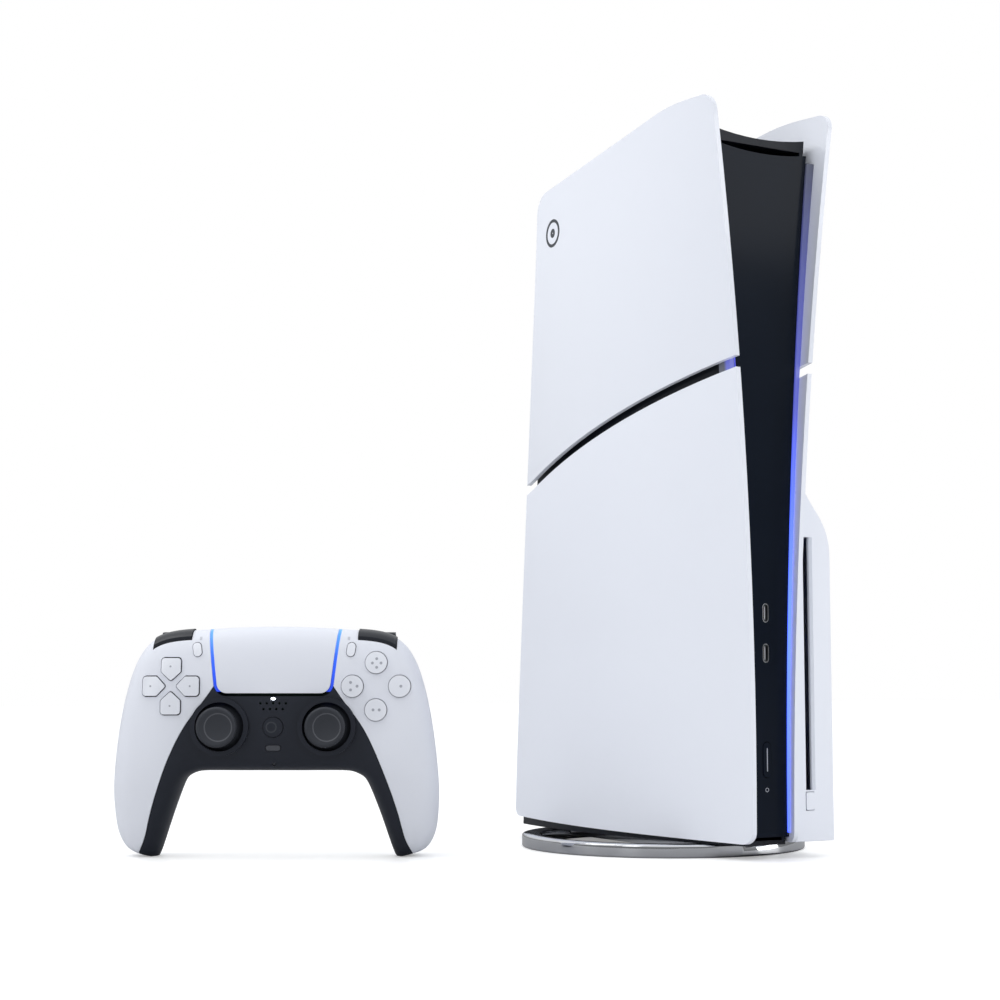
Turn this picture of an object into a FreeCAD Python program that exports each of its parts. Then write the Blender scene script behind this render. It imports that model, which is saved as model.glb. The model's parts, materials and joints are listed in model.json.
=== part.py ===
"""A game console standing on a round stand, with its wireless controller beside it.

Row frame in millimetres: the origin is the centre of the round stand on the surface it stands on, +Z is up,
the console's front faces -Y and its disc drive bulges towards +X. The controller is built in a frame of its
own (+X to its right, +Z up, face towards -Y, z = 0 at the tips of its grips) and then placed beside the
console.
"""

import FreeCAD, Part
import math
import os

from FreeCAD import Placement, Rotation, Vector

import Sketcher

doc = FreeCAD.newDocument("console_set")

# ---------------------------------------------------------------- driving dimensions

DIMENSIONS = [
    # side panels and the form they follow
    ("panel_wall", 2.6, "thickness of the side panels"),
    ("body_base", 9.0, "height at which the console's form starts"),
    ("body_height", 360.0, "height of the console's form"),
    ("body_front", -100.0, "Y of the form's front"),
    ("body_depth", 195.0, "depth of the form"),
    ("front_half", 13.3, "half width at the front edge, at the foot"),
    ("collar_half", 37.0, "half width at the front edge, at the top"),
    ("belly", 26.0, "how much the sides swell behind the front edge, at the foot"),
    ("rear_taper", 8.0, "how much the collar narrows towards the rear"),
    ("panel_foot_front", 7.8, "lower front corner of the panels"),
    ("panel_foot_rear", 11.5, "lower rear corner of the panels"),
    ("panel_front_low", -98.0, "Y of the panels' front edge at the foot"),
    ("panel_front_high", -104.6, "Y of the panels' front edge at the top"),
    ("panel_rear_low", 95.6, "Y of the panels' rear edge at the foot"),
    ("panel_rear_high", 78.0, "Y of the panels' rear edge at the top"),
    ("panel_top_front", 372.5, "upper front corner of the panels"),
    ("panel_top_crest", 376.2, "highest point of the panels' top edge"),
    ("panel_top_rear", 362.0, "upper rear corner of the panels"),
    ("seam_front", 244.2, "height of the seam's upper edge at the front"),
    ("seam_middle", 227.5, "height of the seam's upper edge at mid depth"),
    ("seam_rear", 199.5, "height of the seam's upper edge at the rear"),
    ("seam_gap", 5.6, "width of the seam between upper and lower panels"),
    ("peg_radius", 2.5, "radius of the clip pegs inside the panels"),
    # core
    ("core_inset", 3.8, "how far the core lies inside the panels' outer face"),
    ("core_flare", 4.0, "how much further the core lies inside at the top"),
    ("core_wall", 2.2, "wall of the core casing"),
    ("core_foot", 6.7, "underside of the core"),
    ("core_front_low", -91.5, "Y of the front strip at the foot"),
    ("core_front_high", -95.0, "Y of the front strip at the top"),
    ("core_rear_low", 92.5, "Y of the rear plate at the foot"),
    ("core_rear_high", 75.0, "Y of the rear plate at the top"),
    ("core_top_front", 361.0, "height of the core's top edge at the front"),
    ("core_top_rear", 350.0, "height of the core's top edge at the rear"),
    ("strip_top", 351.5, "top of the front strip"),
    ("strip_wall", 2.5, "thickness of the front strip and the rear plate"),
    ("dish_radius", 150.0, "radius of the hollow along the core's top"),
    ("seat_gap", 0.15, "gap between fixed pieces that seat on each other"),
    ("move_gap", 0.3, "gap around pieces that move"),
    # drive
    ("bay_wall", 17.0, "X of the wall that the disc drive sits on"),
    ("bay_top", 172.0, "top of the drive bay"),
    ("bay_rear", 72.0, "rear of the drive bay"),
    ("drive_front", -94.0, "Y of the drive cover's front face"),
    ("drive_rear", 90.0, "Y of the drive cover's rear end"),
    ("drive_half_front", 38.8, "X of the drive cover's outer face at the front"),
    ("drive_half_middle", 46.5, "X of the drive cover's outer face at mid depth"),
    ("drive_shoulder_low", 148.0, "height where the cover starts to step in"),
    ("drive_shoulder_high", 196.0, "height where the cover has stepped in"),
    ("slot_centre_x", 24.3, "X of the disc's plane"),
    ("slot_width", 4.6, "width of the disc slot"),
    ("slot_foot", 32.9, "lower end of the disc slot"),
    ("slot_length", 124.6, "length of the disc slot"),
    ("disc_centre_y", -27.0, "Y of the disc's centre when it is in"),
    ("eject_height", 8.6, "height of the eject button"),
    # stand
    ("ring_radius", 74.0, "outer radius of the stand's ring"),
    ("ring_band", 10.0, "width of the stand's ring"),
    ("ring_height", 6.5, "top of the stand's ring"),
    ("bridge_width", 40.0, "width of the plate across the ring"),
    ("bridge_foot", 2.4, "underside of the plate across the ring"),
    ("screw_radius", 2.5, "radius of the stand screw"),
    # front ports and buttons
    ("port_upper", 119.4, "height of the upper front port"),
    ("port_lower", 99.8, "height of the lower front port"),
    ("power_centre", 48.0, "height of the power button"),
    ("power_height", 17.0, "length of the power button"),
    ("power_width", 4.6, "width of the power button"),
    # cooling
    ("fan_radius", 50.0, "tip radius of the fan"),
    ("fan_half", 11.0, "half thickness of the fan"),
    ("fan_y", -20.0, "Y of the fan's axis"),
    ("fan_z", 270.0, "height of the fan's axis"),
    ("fan_gap", 2.0, "gap between the blades and the frame"),
    ("frame_half", 14.0, "half thickness of the fan's frame"),
    ("frame_margin", 4.0, "how far the frame reaches past the fan's opening"),
    # controller
    ("pad_x", -204.0, "X of the controller's middle"),
    ("pad_y", 36.0, "Y of the controller's middle"),
    ("pad_turn", -28.8, "how far the controller is turned about Z, in degrees"),
    ("pad_wall", 2.2, "wall of the controller's shells"),
    ("pad_seam", 0.2, "gap between the controller's fixed pieces"),
    ("stick_x", 26.1, "sideways place of a stick"),
    ("stick_z", 64.0, "height of a stick"),
    ("stick_depth", 4.0, "how far in front of the middle plane a stick pivots"),
    ("stick_dome", 14.0, "radius of a stick's dome"),
    ("stick_hole", 11.9, "radius of the hole around a stick"),
    ("stick_cap", 9.7, "radius of a stick's cap"),
    ("keys_x", 50.0, "sideways place of the direction pad and the action keys"),
    ("keys_z", 83.7, "height of the direction pad and the action keys"),
    ("key_spread", 11.5, "distance of an action key from their centre"),
    ("key_radius", 5.3, "radius of an action key"),
    ("key_proud", 1.3, "how far a key stands proud of the shell"),
    ("jack_radius", 1.8, "radius of the headset jack's bore"),
    ("jack_length", 14.0, "length of the headset jack"),
]

sheet = doc.addObject("Spreadsheet::Sheet", "dims")
for row, (alias, value, meaning) in enumerate(DIMENSIONS, start=1):
    sheet.set(f"A{row}", meaning)
    sheet.set(f"B{row}", str(value))
    sheet.setAlias(f"B{row}", alias)
doc.recompute()


def size(alias):
    """The number in the sheet's cell of that name."""
    return float(sheet.get(alias))


# ---------------------------------------------------------------- helpers

NODES = []  # every sub-part that is written out, in the order it was made


def bind(thing, **expressions):
    """Ties properties to the sheet. place_x, place_y and place_z tie the placement."""
    for name, expression in expressions.items():
        if name.startswith("place_"):
            name = "Placement.Base." + name[-1]
        thing.setExpression(name, str(expression))
    return thing


def node(thing, label, placement=None):
    """Marks an object as a finished sub-part."""
    thing.Label = label
    if placement is not None:
        thing.Placement = placement.multiply(thing.Placement)
    NODES.append(thing)
    return thing


def block(name, length, width, height, x, y, z):
    """A box tied to the sheet. Its lengths and its lowest corner are expressions."""
    thing = doc.addObject("Part::Box", name)
    return bind(thing, Length=length, Width=width, Height=height, place_x=x, place_y=y, place_z=z)


TURNS = {
    "X": Rotation(Vector(0, 1, 0), 90),
    "Y": Rotation(Vector(1, 0, 0), -90),
    "Z": Rotation(),
}


def rod(name, radius, height, x, y, z, axis="Z"):
    """A cylinder tied to the sheet that runs from its foot at x, y, z along +axis."""
    thing = doc.addObject("Part::Cylinder", name)
    thing.Placement = Placement(Vector(), TURNS[axis])
    return bind(thing, Radius=radius, Height=height, place_x=x, place_y=y, place_z=z)


def cut(name, base, *tools):
    """base less every tool."""
    tool = tools[0] if len(tools) == 1 else fuse(name + "_tools", *tools)
    thing = doc.addObject("Part::Cut", name)
    thing.Base, thing.Tool = base, tool
    return thing


def fuse(name, *parts):
    thing = doc.addObject("Part::MultiFuse", name)
    thing.Shapes = list(parts)
    return thing


def common(name, *parts):
    thing = doc.addObject("Part::MultiCommon", name)
    thing.Shapes = list(parts)
    return thing


def solid(name, shape):
    """A free form that no primitive or sketch fits."""
    thing = doc.addObject("Part::Feature", name)
    thing.Shape = shape
    return thing


def sketch(body, name, plane="XY_Plane"):
    """An empty sketch on one of the body's own origin planes."""
    drawing = body.newObject("Sketcher::SketchObject", name)
    face = [f for f in body.Origin.OriginFeatures if f.Role == plane][0]
    drawing.AttachmentSupport = [(face, "")]
    drawing.MapMode = "FlatFace"
    return drawing


def add_circle(drawing, radius, name, x="0", y="0"):
    """A circle whose radius and centre are expressions."""
    index = drawing.addGeometry(Part.Circle(Vector(1, 1, 0), Vector(0, 0, 1), 1.0), False)
    drawing.addConstraint(Sketcher.Constraint("Radius", index, 1.0))
    drawing.renameConstraint(drawing.ConstraintCount - 1, name)
    drawing.setExpression(f"Constraints.{name}", radius)
    for kind, place in (("DistanceX", x), ("DistanceY", y)):
        if place == "0":
            point = Sketcher.Constraint("PointOnObject", index, 3, -2 if kind == "DistanceX" else -1)
            drawing.addConstraint(point)
        else:
            drawing.addConstraint(Sketcher.Constraint(kind, -1, 1, index, 3, 1.0))
            label = f"{name}_{kind[-1]}"
            drawing.renameConstraint(drawing.ConstraintCount - 1, label)
            drawing.setExpression(f"Constraints.{label}", place)


def pad(body, drawing, length, name):
    """Pads the sketch by an expression's length."""
    feature = body.newObject("PartDesign::Pad", name)
    feature.Profile = drawing
    feature.setExpression("Length", length)
    drawing.Visibility = False
    return feature


def design_body(name, x="0", y="0", z="0"):
    body = doc.addObject("PartDesign::Body", name)
    return bind(body, place_x=x, place_y=y, place_z=z)


def rounded(corners):
    """A closed planar wire through (point, radius) corners, each corner an arc of its radius."""
    edges, ends = [], []
    count = len(corners)
    for k, (here, radius) in enumerate(corners):
        before, after = corners[k - 1][0], corners[(k + 1) % count][0]
        back, on = (before - here).normalize(), (after - here).normalize()
        half = back.getAngle(on) / 2
        if radius <= 0 or half > math.radians(89.9):
            ends.append((here, here, None))
            continue
        reach = radius / math.tan(half)
        middle = (back + on).normalize()
        centre = here + middle * (radius / math.sin(half))
        ends.append((here + back * reach, here + on * reach, centre - middle * radius))
    for k in range(count):
        start, end, crest = ends[k]
        if crest is not None:
            edges.append(Part.Arc(start, crest, end).toShape())
        edges.append(Part.LineSegment(end, ends[(k + 1) % count][0]).toShape())
    return Part.Wire(edges)


def prism(wire, direction):
    """The solid that a closed planar wire sweeps."""
    return Part.Face(wire).extrude(direction)


# ---------------------------------------------------------------- the console's form

SWELL = 0.68  # share of a half wave that the swelling of the sides follows from front to rear
FLARE_POWER = 1.9  # how late the collar opens
FORM_REACH = 18.0  # how far the form is built past the panels' outline, to be trimmed


def rise(z):
    """0 at the foot of the form and 1 at its top."""
    return max(0.0, (z - size("body_base")) / size("body_height"))


def half_width(y, z, inset=0.0, flare=0.0):
    """Half the console's width at depth y and height z, inset from the panels' outer face."""
    up = rise(z)
    front = size("front_half") + (size("collar_half") - size("front_half")) * up**FLARE_POWER
    swell = size("belly") * (1 - min(up, 1.0) ** 1.5)
    taper = size("rear_taper") * up**2
    along = (y - size("body_front")) / size("body_depth")
    return front + swell * math.sin(SWELL * math.pi * along) - taper * along - inset - flare * up**2


def flank(inset, flare=0.0):
    """The console's whole form, both sides, as one lofted solid."""
    front = size("panel_front_high") - FORM_REACH / 2
    rear = size("panel_rear_low") + FORM_REACH / 2
    stations = [front + (rear - front) * k / 6 for k in range(7)]
    low, high = -FORM_REACH / 2, size("panel_top_crest") + FORM_REACH / 2
    sections = []
    for k in range(9):
        z = low + (high - low) * k / 8
        right = [Vector(half_width(y, z, inset, flare), y, z) for y in stations]
        left = [Vector(-p.x, p.y, p.z) for p in reversed(right)]
        right_curve, left_curve = Part.BSplineCurve(), Part.BSplineCurve()
        right_curve.interpolate(right)
        left_curve.interpolate(left)
        sections.append(
            Part.Wire(
                [
                    right_curve.toShape(),
                    Part.LineSegment(right[-1], left[0]).toShape(),
                    left_curve.toShape(),
                    Part.LineSegment(left[-1], right[0]).toShape(),
                ]
            )
        )
    return Part.makeLoft(sections, True, False)


WIDE = 200.0  # longer than anything that a cutting tool has to pass


def side_prism(corners, x_from, x_to):
    """A prism along X over a side view of (y, z, radius) corners."""
    points = [(Vector(x_from, y, z), r) for y, z, r in corners]
    return prism(rounded(points), Vector(x_to - x_from, 0, 0))


def panel_outline():
    """The side view of both panels of a side together."""
    crest_y = size("panel_front_high") + 0.2 * size("body_depth")
    return [
        (size("panel_front_low"), size("panel_foot_front"), 6.0),
        (size("panel_front_high"), size("panel_top_front"), 9.0),
        (crest_y, size("panel_top_crest"), 150.0),
        (size("panel_rear_high"), size("panel_top_rear"), 12.0),
        (size("panel_rear_low"), size("panel_foot_rear"), 5.0),
    ]


def seam_tool(drop, above, x_from, x_to):
    """Everything above, or below, the seam's arc lowered by drop."""
    front, rear = -WIDE, WIDE
    y_front, y_rear = size("panel_front_high"), size("panel_rear_high")
    y_middle = (y_front + y_rear) / 2
    z_front, z_middle, z_rear = (size(n) - drop for n in ("seam_front", "seam_middle", "seam_rear"))
    far = 2 * size("body_height") if above else -WIDE
    start, end = Vector(x_from, y_front, z_front), Vector(x_from, y_rear, z_rear)
    arc = Part.Arc(start, Vector(x_from, y_middle, z_middle), end).toShape()
    lead_in = Vector(x_from, front, z_front)
    slope = (z_rear - z_middle) / (y_rear - y_middle)
    lead_out = Vector(x_from, rear, z_rear + slope * (rear - y_rear))
    corners = [lead_out, Vector(x_from, rear, far), Vector(x_from, front, far), lead_in]
    lines = [Part.LineSegment(lead_in, start).toShape(), arc, Part.LineSegment(end, lead_out).toShape()]
    lines += [Part.LineSegment(corners[k], corners[k + 1]).toShape() for k in range(3)]
    return prism(Part.Wire(lines), Vector(x_to - x_from, 0, 0))


def peg_at(y, z, side):
    """A clip peg between a panel and the core."""
    start = Vector(0, y, z)
    peg = Part.makeCylinder(size("peg_radius"), WIDE, start, Vector(side, 0, 0))
    return peg.common(PEG_OUTER).cut(PEG_INNER)


OUTER = flank(0.0)
INNER = flank(size("panel_wall"))
CORE = flank(size("core_inset"), size("core_flare"))
CORE_INSIDE = flank(size("core_inset") + size("core_wall"), size("core_flare"))
PEG_OUTER = flank(0.5 * size("panel_wall"))
PEG_INNER = flank(size("core_inset") - size("seat_gap"), size("core_flare"))
PANEL_SKIN = OUTER.cut(INNER)


# ---------------------------------------------------------------- stand

def make_stand():
    """Chromed ring, the plate across it and the screw that holds the console."""
    ring = design_body("ring_body")
    drawing = sketch(ring, "ring_sketch")
    add_circle(drawing, "dims.ring_radius", "outer")
    add_circle(drawing, "dims.ring_radius - dims.ring_band", "inner")
    base = pad(ring, drawing, "dims.ring_height", "ring_pad")
    doc.recompute()
    edges = [f"Edge{k + 1}" for k, e in enumerate(base.Shape.Edges) if e.Closed]
    softened = ring.newObject("PartDesign::Fillet", "ring_fillet")
    softened.Base = (base, edges)
    softened.setExpression("Radius", "0.16 * dims.ring_height")
    node(ring, "stand_ring")

    across = block(
        "bridge_block", "dims.bridge_width", "2 * dims.ring_radius", "dims.ring_height - dims.bridge_foot",
        "-dims.bridge_width / 2", "-dims.ring_radius", "dims.bridge_foot",
    )
    inside = rod(
        "bridge_round", "dims.ring_radius - dims.ring_band - dims.seat_gap", "dims.ring_height", "0", "0", "0"
    )
    hole = rod("bridge_hole", "dims.screw_radius + dims.seat_gap", "20", "0", "0", "0")
    sink = rod("bridge_sink", "8.4", "1.9", "0", "0", "dims.bridge_foot - 0.1")
    plate = common("bridge_plate", across, inside)
    node(cut("bridge", plate, hole, sink), "stand_bridge")

    head = rod("screw_head", "8", "1.7", "0", "0", "dims.bridge_foot")
    shank = rod("screw_shank", "dims.screw_radius", "12", "0", "0", "dims.bridge_foot + 1")
    slot = block("screw_slot", "12", "1.6", "0.9", "-6", "-0.8", "dims.bridge_foot - 0.1")
    node(cut("screw", fuse("screw_blank", head, shank), slot), "stand_screw")


# ---------------------------------------------------------------- core

def core_line(z, grow=0.0):
    """Y of the front strip's outer face at height z."""
    share = (z - size("core_foot")) / (size("core_top_front") - size("core_foot"))
    return size("core_front_low") + share * (size("core_front_high") - size("core_front_low")) + grow


def rear_line(z, grow=0.0):
    """Y of the rear plate's outer face at height z."""
    share = (z - size("core_foot")) / (size("core_top_rear") - size("core_foot"))
    return size("core_rear_low") + share * (size("core_rear_high") - size("core_rear_low")) + grow


def core_band(front, rear, foot, top_front, top_rear, half=WIDE):
    """A side-view prism between front and rear offsets of the core's slanting ends."""
    corners = [
        (core_line(foot, front), foot, 0),
        (core_line(top_front, front), top_front, 0),
        (rear_line(top_rear, rear), top_rear, 0),
        (rear_line(foot, rear), foot, 0),
    ]
    return side_prism(corners, -half, half)


def strip_band(line, near, far, foot, top):
    """A thin slanting side-view prism that follows the front or the rear line."""
    corners = [(line(foot, near), foot, 0), (line(top, near), top, 0), (line(top, far), top, 0)]
    corners.append((line(foot, far), foot, 0))
    return side_prism(corners, -WIDE, WIDE)


def hollow_along_top(lowest):
    """The round hollow that runs along the top from front to rear."""
    centre = Vector(0, -WIDE, lowest + size("dish_radius"))
    return Part.makeCylinder(size("dish_radius"), 2 * WIDE, centre, Vector(0, 1, 0))


def drive_bay(grow):
    """The block of space that the disc drive needs beside the casing."""
    wall = size("bay_wall") - grow
    return Part.makeBox(
        WIDE, size("bay_rear") + WIDE + grow, size("bay_top") + WIDE + grow, Vector(wall, -WIDE, -WIDE)
    )


def casing_hollow():
    """The casing's hollow top, which follows the slope of the core's top from front to rear."""
    front, rear, dip = size("core_top_front"), size("core_top_rear"), 2.4
    radius = size("dish_radius")
    start = Vector(0, core_line(front) - 20, front - dip + radius)
    end = Vector(0, rear_line(rear) + 20, rear - dip + radius)
    return Part.makeCylinder(radius, (end - start).Length, start, end - start)


def casing_shape():
    """The whole core casing, a sleeve open at the front and the rear."""
    wall, gap = size("core_wall"), size("seat_gap")
    top_front, top_rear, foot = size("core_top_front"), size("core_top_rear"), size("core_foot")
    ends = size("strip_wall") + gap
    outside = CORE.common(core_band(ends, -ends, foot, top_front, top_rear)).cut(drive_bay(0))
    inside_band = core_band(-WIDE / 2, WIDE / 2, foot + wall, top_front - 2 * wall, top_rear - 2 * wall)
    inside = CORE_INSIDE.common(inside_band).cut(drive_bay(wall))
    casing = outside.cut(inside).cut(casing_hollow())
    for z in (fan_corner(-1)[1], fan_corner(1)[1]):
        for y in (fan_corner(-1)[0], fan_corner(1)[0]):
            for side in (-1, 1):
                start = Vector(side * (size("frame_half") + gap), y, z)
                casing = casing.fuse(Part.makeCylinder(4.0, WIDE, start, Vector(side, 0, 0)).common(CORE))
    boss = Part.makeCylinder(6.0, 12.0, Vector(0, 0, foot), Vector(0, 0, 1))
    bore = Part.makeCylinder(size("screw_radius") + gap, 40.0, Vector(0, 0, -5), Vector(0, 0, 1))
    return casing.fuse(boss).cut(bore)


def fan_corner(side):
    """(y, z) of the fan frame's mounting corner on that side of its axis."""
    reach = size("fan_radius") + size("fan_gap") + size("frame_margin") - 5.0
    return size("fan_y") + side * reach, size("fan_z") + side * reach


def make_core():
    """Casing halves, front strip, rear plate, light guides, front ports, power button and screws."""
    gap, wall = size("seat_gap"), size("strip_wall")
    casing = casing_shape()
    for name, start in (("left", -WIDE - 0.05), ("right", 0.05)):
        side = Part.makeBox(WIDE, 2 * WIDE, 3 * WIDE, Vector(start, -WIDE, -WIDE))
        node(solid(f"casing_{name}", casing.common(side)), f"casing_{name}")

    # front strip, with its two ports and the power button's hole
    strip = CORE.common(strip_band(core_line, 0, wall, size("core_foot") + 4, size("strip_top") + 6))
    strip = strip.cut(hollow_along_top(size("strip_top") - 2.5))
    for z in (size("port_upper"), size("port_lower")):
        strip = strip.cut(upright_pill(PORT_HALF_W + gap, PORT_HALF_L + gap, z, -WIDE, WIDE))
    half_w, half_l = size("power_width") / 2, size("power_height") / 2
    room = size("move_gap")
    hole = upright_pill(half_w + room, half_l + room, size("power_centre"), -WIDE, WIDE)
    node(solid("strip_shape", strip.cut(hole)), "front_strip")

    face = core_line(size("power_centre"))
    button = upright_pill(half_w, half_l, size("power_centre"), face - 0.3, face + wall + 3)
    back = face + wall + 3
    flange = upright_pill(half_w + 1.5, half_l + 1.5, size("power_centre"), back - 1.7, back)
    node(solid("power_shape", button.fuse(flange)), "power_button")

    ports = []
    for z in (size("port_upper"), size("port_lower")):
        front = core_line(z) + 0.3
        sleeve = upright_pill(PORT_HALF_W, PORT_HALF_L, z, front, front + 8)
        bore = upright_pill(PORT_HALF_W - 0.3, PORT_HALF_L - 0.3, z, front - 1, front + 7)
        tongue = Part.makeBox(0.7, 6.4, 6.4, Vector(-0.35, front + 0.8, z - 3.2))
        ports.append(sleeve.cut(bore).fuse(tongue))
    node(solid("port_shapes", Part.makeCompound(ports)), "front_ports")

    # light guides fill the space between core and panels along the front edges
    guide = flank(size("panel_wall") + gap + 0.1).cut(flank(size("core_inset") - gap, size("core_flare")))
    span = strip_band(core_line, -1.0, GUIDE_DEPTH, size("core_foot") + 6, size("strip_top") - 4)
    guide = guide.common(span)
    node(solid("guide_shapes", Part.makeCompound(guide.Solids)), "light_guides")


GUIDE_DEPTH = 7.0  # how far the light guides reach back from the front strip's face
PORT_HALF_W, PORT_HALF_L = 1.8, 4.6  # outer half width and half length of a small front port's sleeve


def upright_pill(half_width_x, half_length_z, z, y_from, y_to):
    """A prism along Y with round upper and lower ends, centred on X = 0."""
    r = half_width_x
    straight = half_length_z - r
    top, foot = Vector(0, y_from, z + straight), Vector(0, y_from, z - straight)
    left, right = Vector(-r, 0, 0), Vector(r, 0, 0)
    edges = [
        Part.Arc(top + right, top + Vector(0, 0, r), top + left).toShape(),
        Part.LineSegment(top + left, foot + left).toShape(),
        Part.Arc(foot + left, foot - Vector(0, 0, r), foot + right).toShape(),
        Part.LineSegment(foot + right, top + right).toShape(),
    ]
    return prism(Part.Wire(edges), Vector(0, y_to - y_from, 0))


# ---------------------------------------------------------------- panels

LEFT_PEGS_UPPER = [(-60, 300), (-60, 350), (50, 250), (50, 340)]
LEFT_PEGS_LOWER = [(-60, 40), (-60, 190), (60, 40), (60, 170)]


def panel_blank(side, above, pegs):
    """One panel: the skin inside the outline, above or below the seam, with its clip pegs."""
    x_from, x_to = (0.0, WIDE) if side > 0 else (-WIDE, 0.0)
    form = PANEL_SKIN.common(side_prism(panel_outline(), x_from, x_to))
    drop = 0.0 if above else size("seam_gap")
    form = form.common(seam_tool(drop, above, x_from, x_to))
    for y, z in pegs:
        form = form.fuse(peg_at(y, z, side))
    return form


def bulge(inset):
    """The swelling over the disc drive, as a loft of front views from front to rear."""
    foot = size("panel_foot_front") + inset
    low, high = size("drive_shoulder_low") - inset, size("drive_shoulder_high") - inset
    front, rear = size("drive_front") + inset, size("drive_rear") - inset
    middle = (low + high) / 2
    sections = []
    for k in range(5):
        share = k / 4
        y = front + (rear - front) * share
        swell = size("drive_half_middle") - size("drive_half_front")
        bow = swell * math.sin(math.pi * min(1.0, 0.15 + share))
        out = size("drive_half_front") + max(0.0, bow - 0.45 * swell) - inset
        waist = half_width(y, high) - 1.0 - inset
        near = 5.0 + inset
        shoulder = Part.BezierCurve()
        shoulder.setPoles(
            [Vector(out, y, low), Vector(out, y, middle), Vector(waist, y, middle), Vector(waist, y, high)]
        )
        sections.append(
            Part.Wire(
                [
                    Part.LineSegment(Vector(near, y, foot), Vector(out, y, foot)).toShape(),
                    Part.LineSegment(Vector(out, y, foot), Vector(out, y, low)).toShape(),
                    shoulder.toShape(),
                    Part.LineSegment(Vector(waist, y, high), Vector(near, y, high)).toShape(),
                    Part.LineSegment(Vector(near, y, high), Vector(near, y, foot)).toShape(),
                ]
            )
        )
    return Part.makeLoft(sections, True, False)


def make_panels():
    """The four side panels. The lower right one is the disc drive's cover."""
    node(solid("left_upper", panel_blank(-1, True, LEFT_PEGS_UPPER)), "panel_left_upper")
    node(solid("left_lower", panel_blank(-1, False, LEFT_PEGS_LOWER)), "panel_left_lower")
    node(solid("right_upper", panel_blank(1, True, LEFT_PEGS_UPPER)), "panel_right_upper")
    node(solid("cover_shape", drive_cover_shape()), "drive_cover")


def slot_box(grow_x, grow_z, y_from, y_to):
    """The disc slot as a block, grown sideways and lengthwise."""
    return Part.makeBox(
        size("slot_width") + 2 * grow_x,
        y_to - y_from,
        size("slot_length") + 2 * grow_z,
        Vector(size("slot_centre_x") - size("slot_width") / 2 - grow_x, y_from, size("slot_foot") - grow_z),
    )


def drive_cover_shape():
    """The lower right panel with the swelling for the drive, its slot and the eject button's hole."""
    wall = size("panel_wall")
    below = seam_tool(size("seam_gap"), False, 0.0, WIDE)
    outline = side_prism(panel_outline(), 0.0, WIDE).common(below)
    outer = OUTER.common(outline).fuse(bulge(0.0).common(outline))
    inner = INNER.common(side_prism(panel_outline(), -1.0, WIDE)).fuse(bulge(wall))
    cover = outer.cut(inner).cut(flank(size("panel_wall")))
    cover = cover.cut(slot_box(0, 0, -WIDE, size("drive_front") + 20))
    face = size("drive_front")
    left = size("slot_centre_x") + size("slot_width") / 2
    foot, top = size("slot_foot"), size("slot_foot") + size("slot_length")
    bevel = rounded([(Vector(left - 0.5, face - 1, foot), 0), (Vector(left + 2.4, face - 1, foot), 0),
                     (Vector(left - 0.5, face + 1.6, foot), 0)])
    cover = cover.cut(prism(bevel, Vector(0, 0, top - foot)))
    gap = size("move_gap")
    corner = Vector(left - size("slot_width") - gap, face - 10, foot - 1.0 - size("eject_height") - gap)
    hole = Part.makeBox(size("slot_width") + 2 * gap, 30, size("eject_height") + 2 * gap, corner)
    return cover.cut(hole)


# ---------------------------------------------------------------- disc drive

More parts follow.
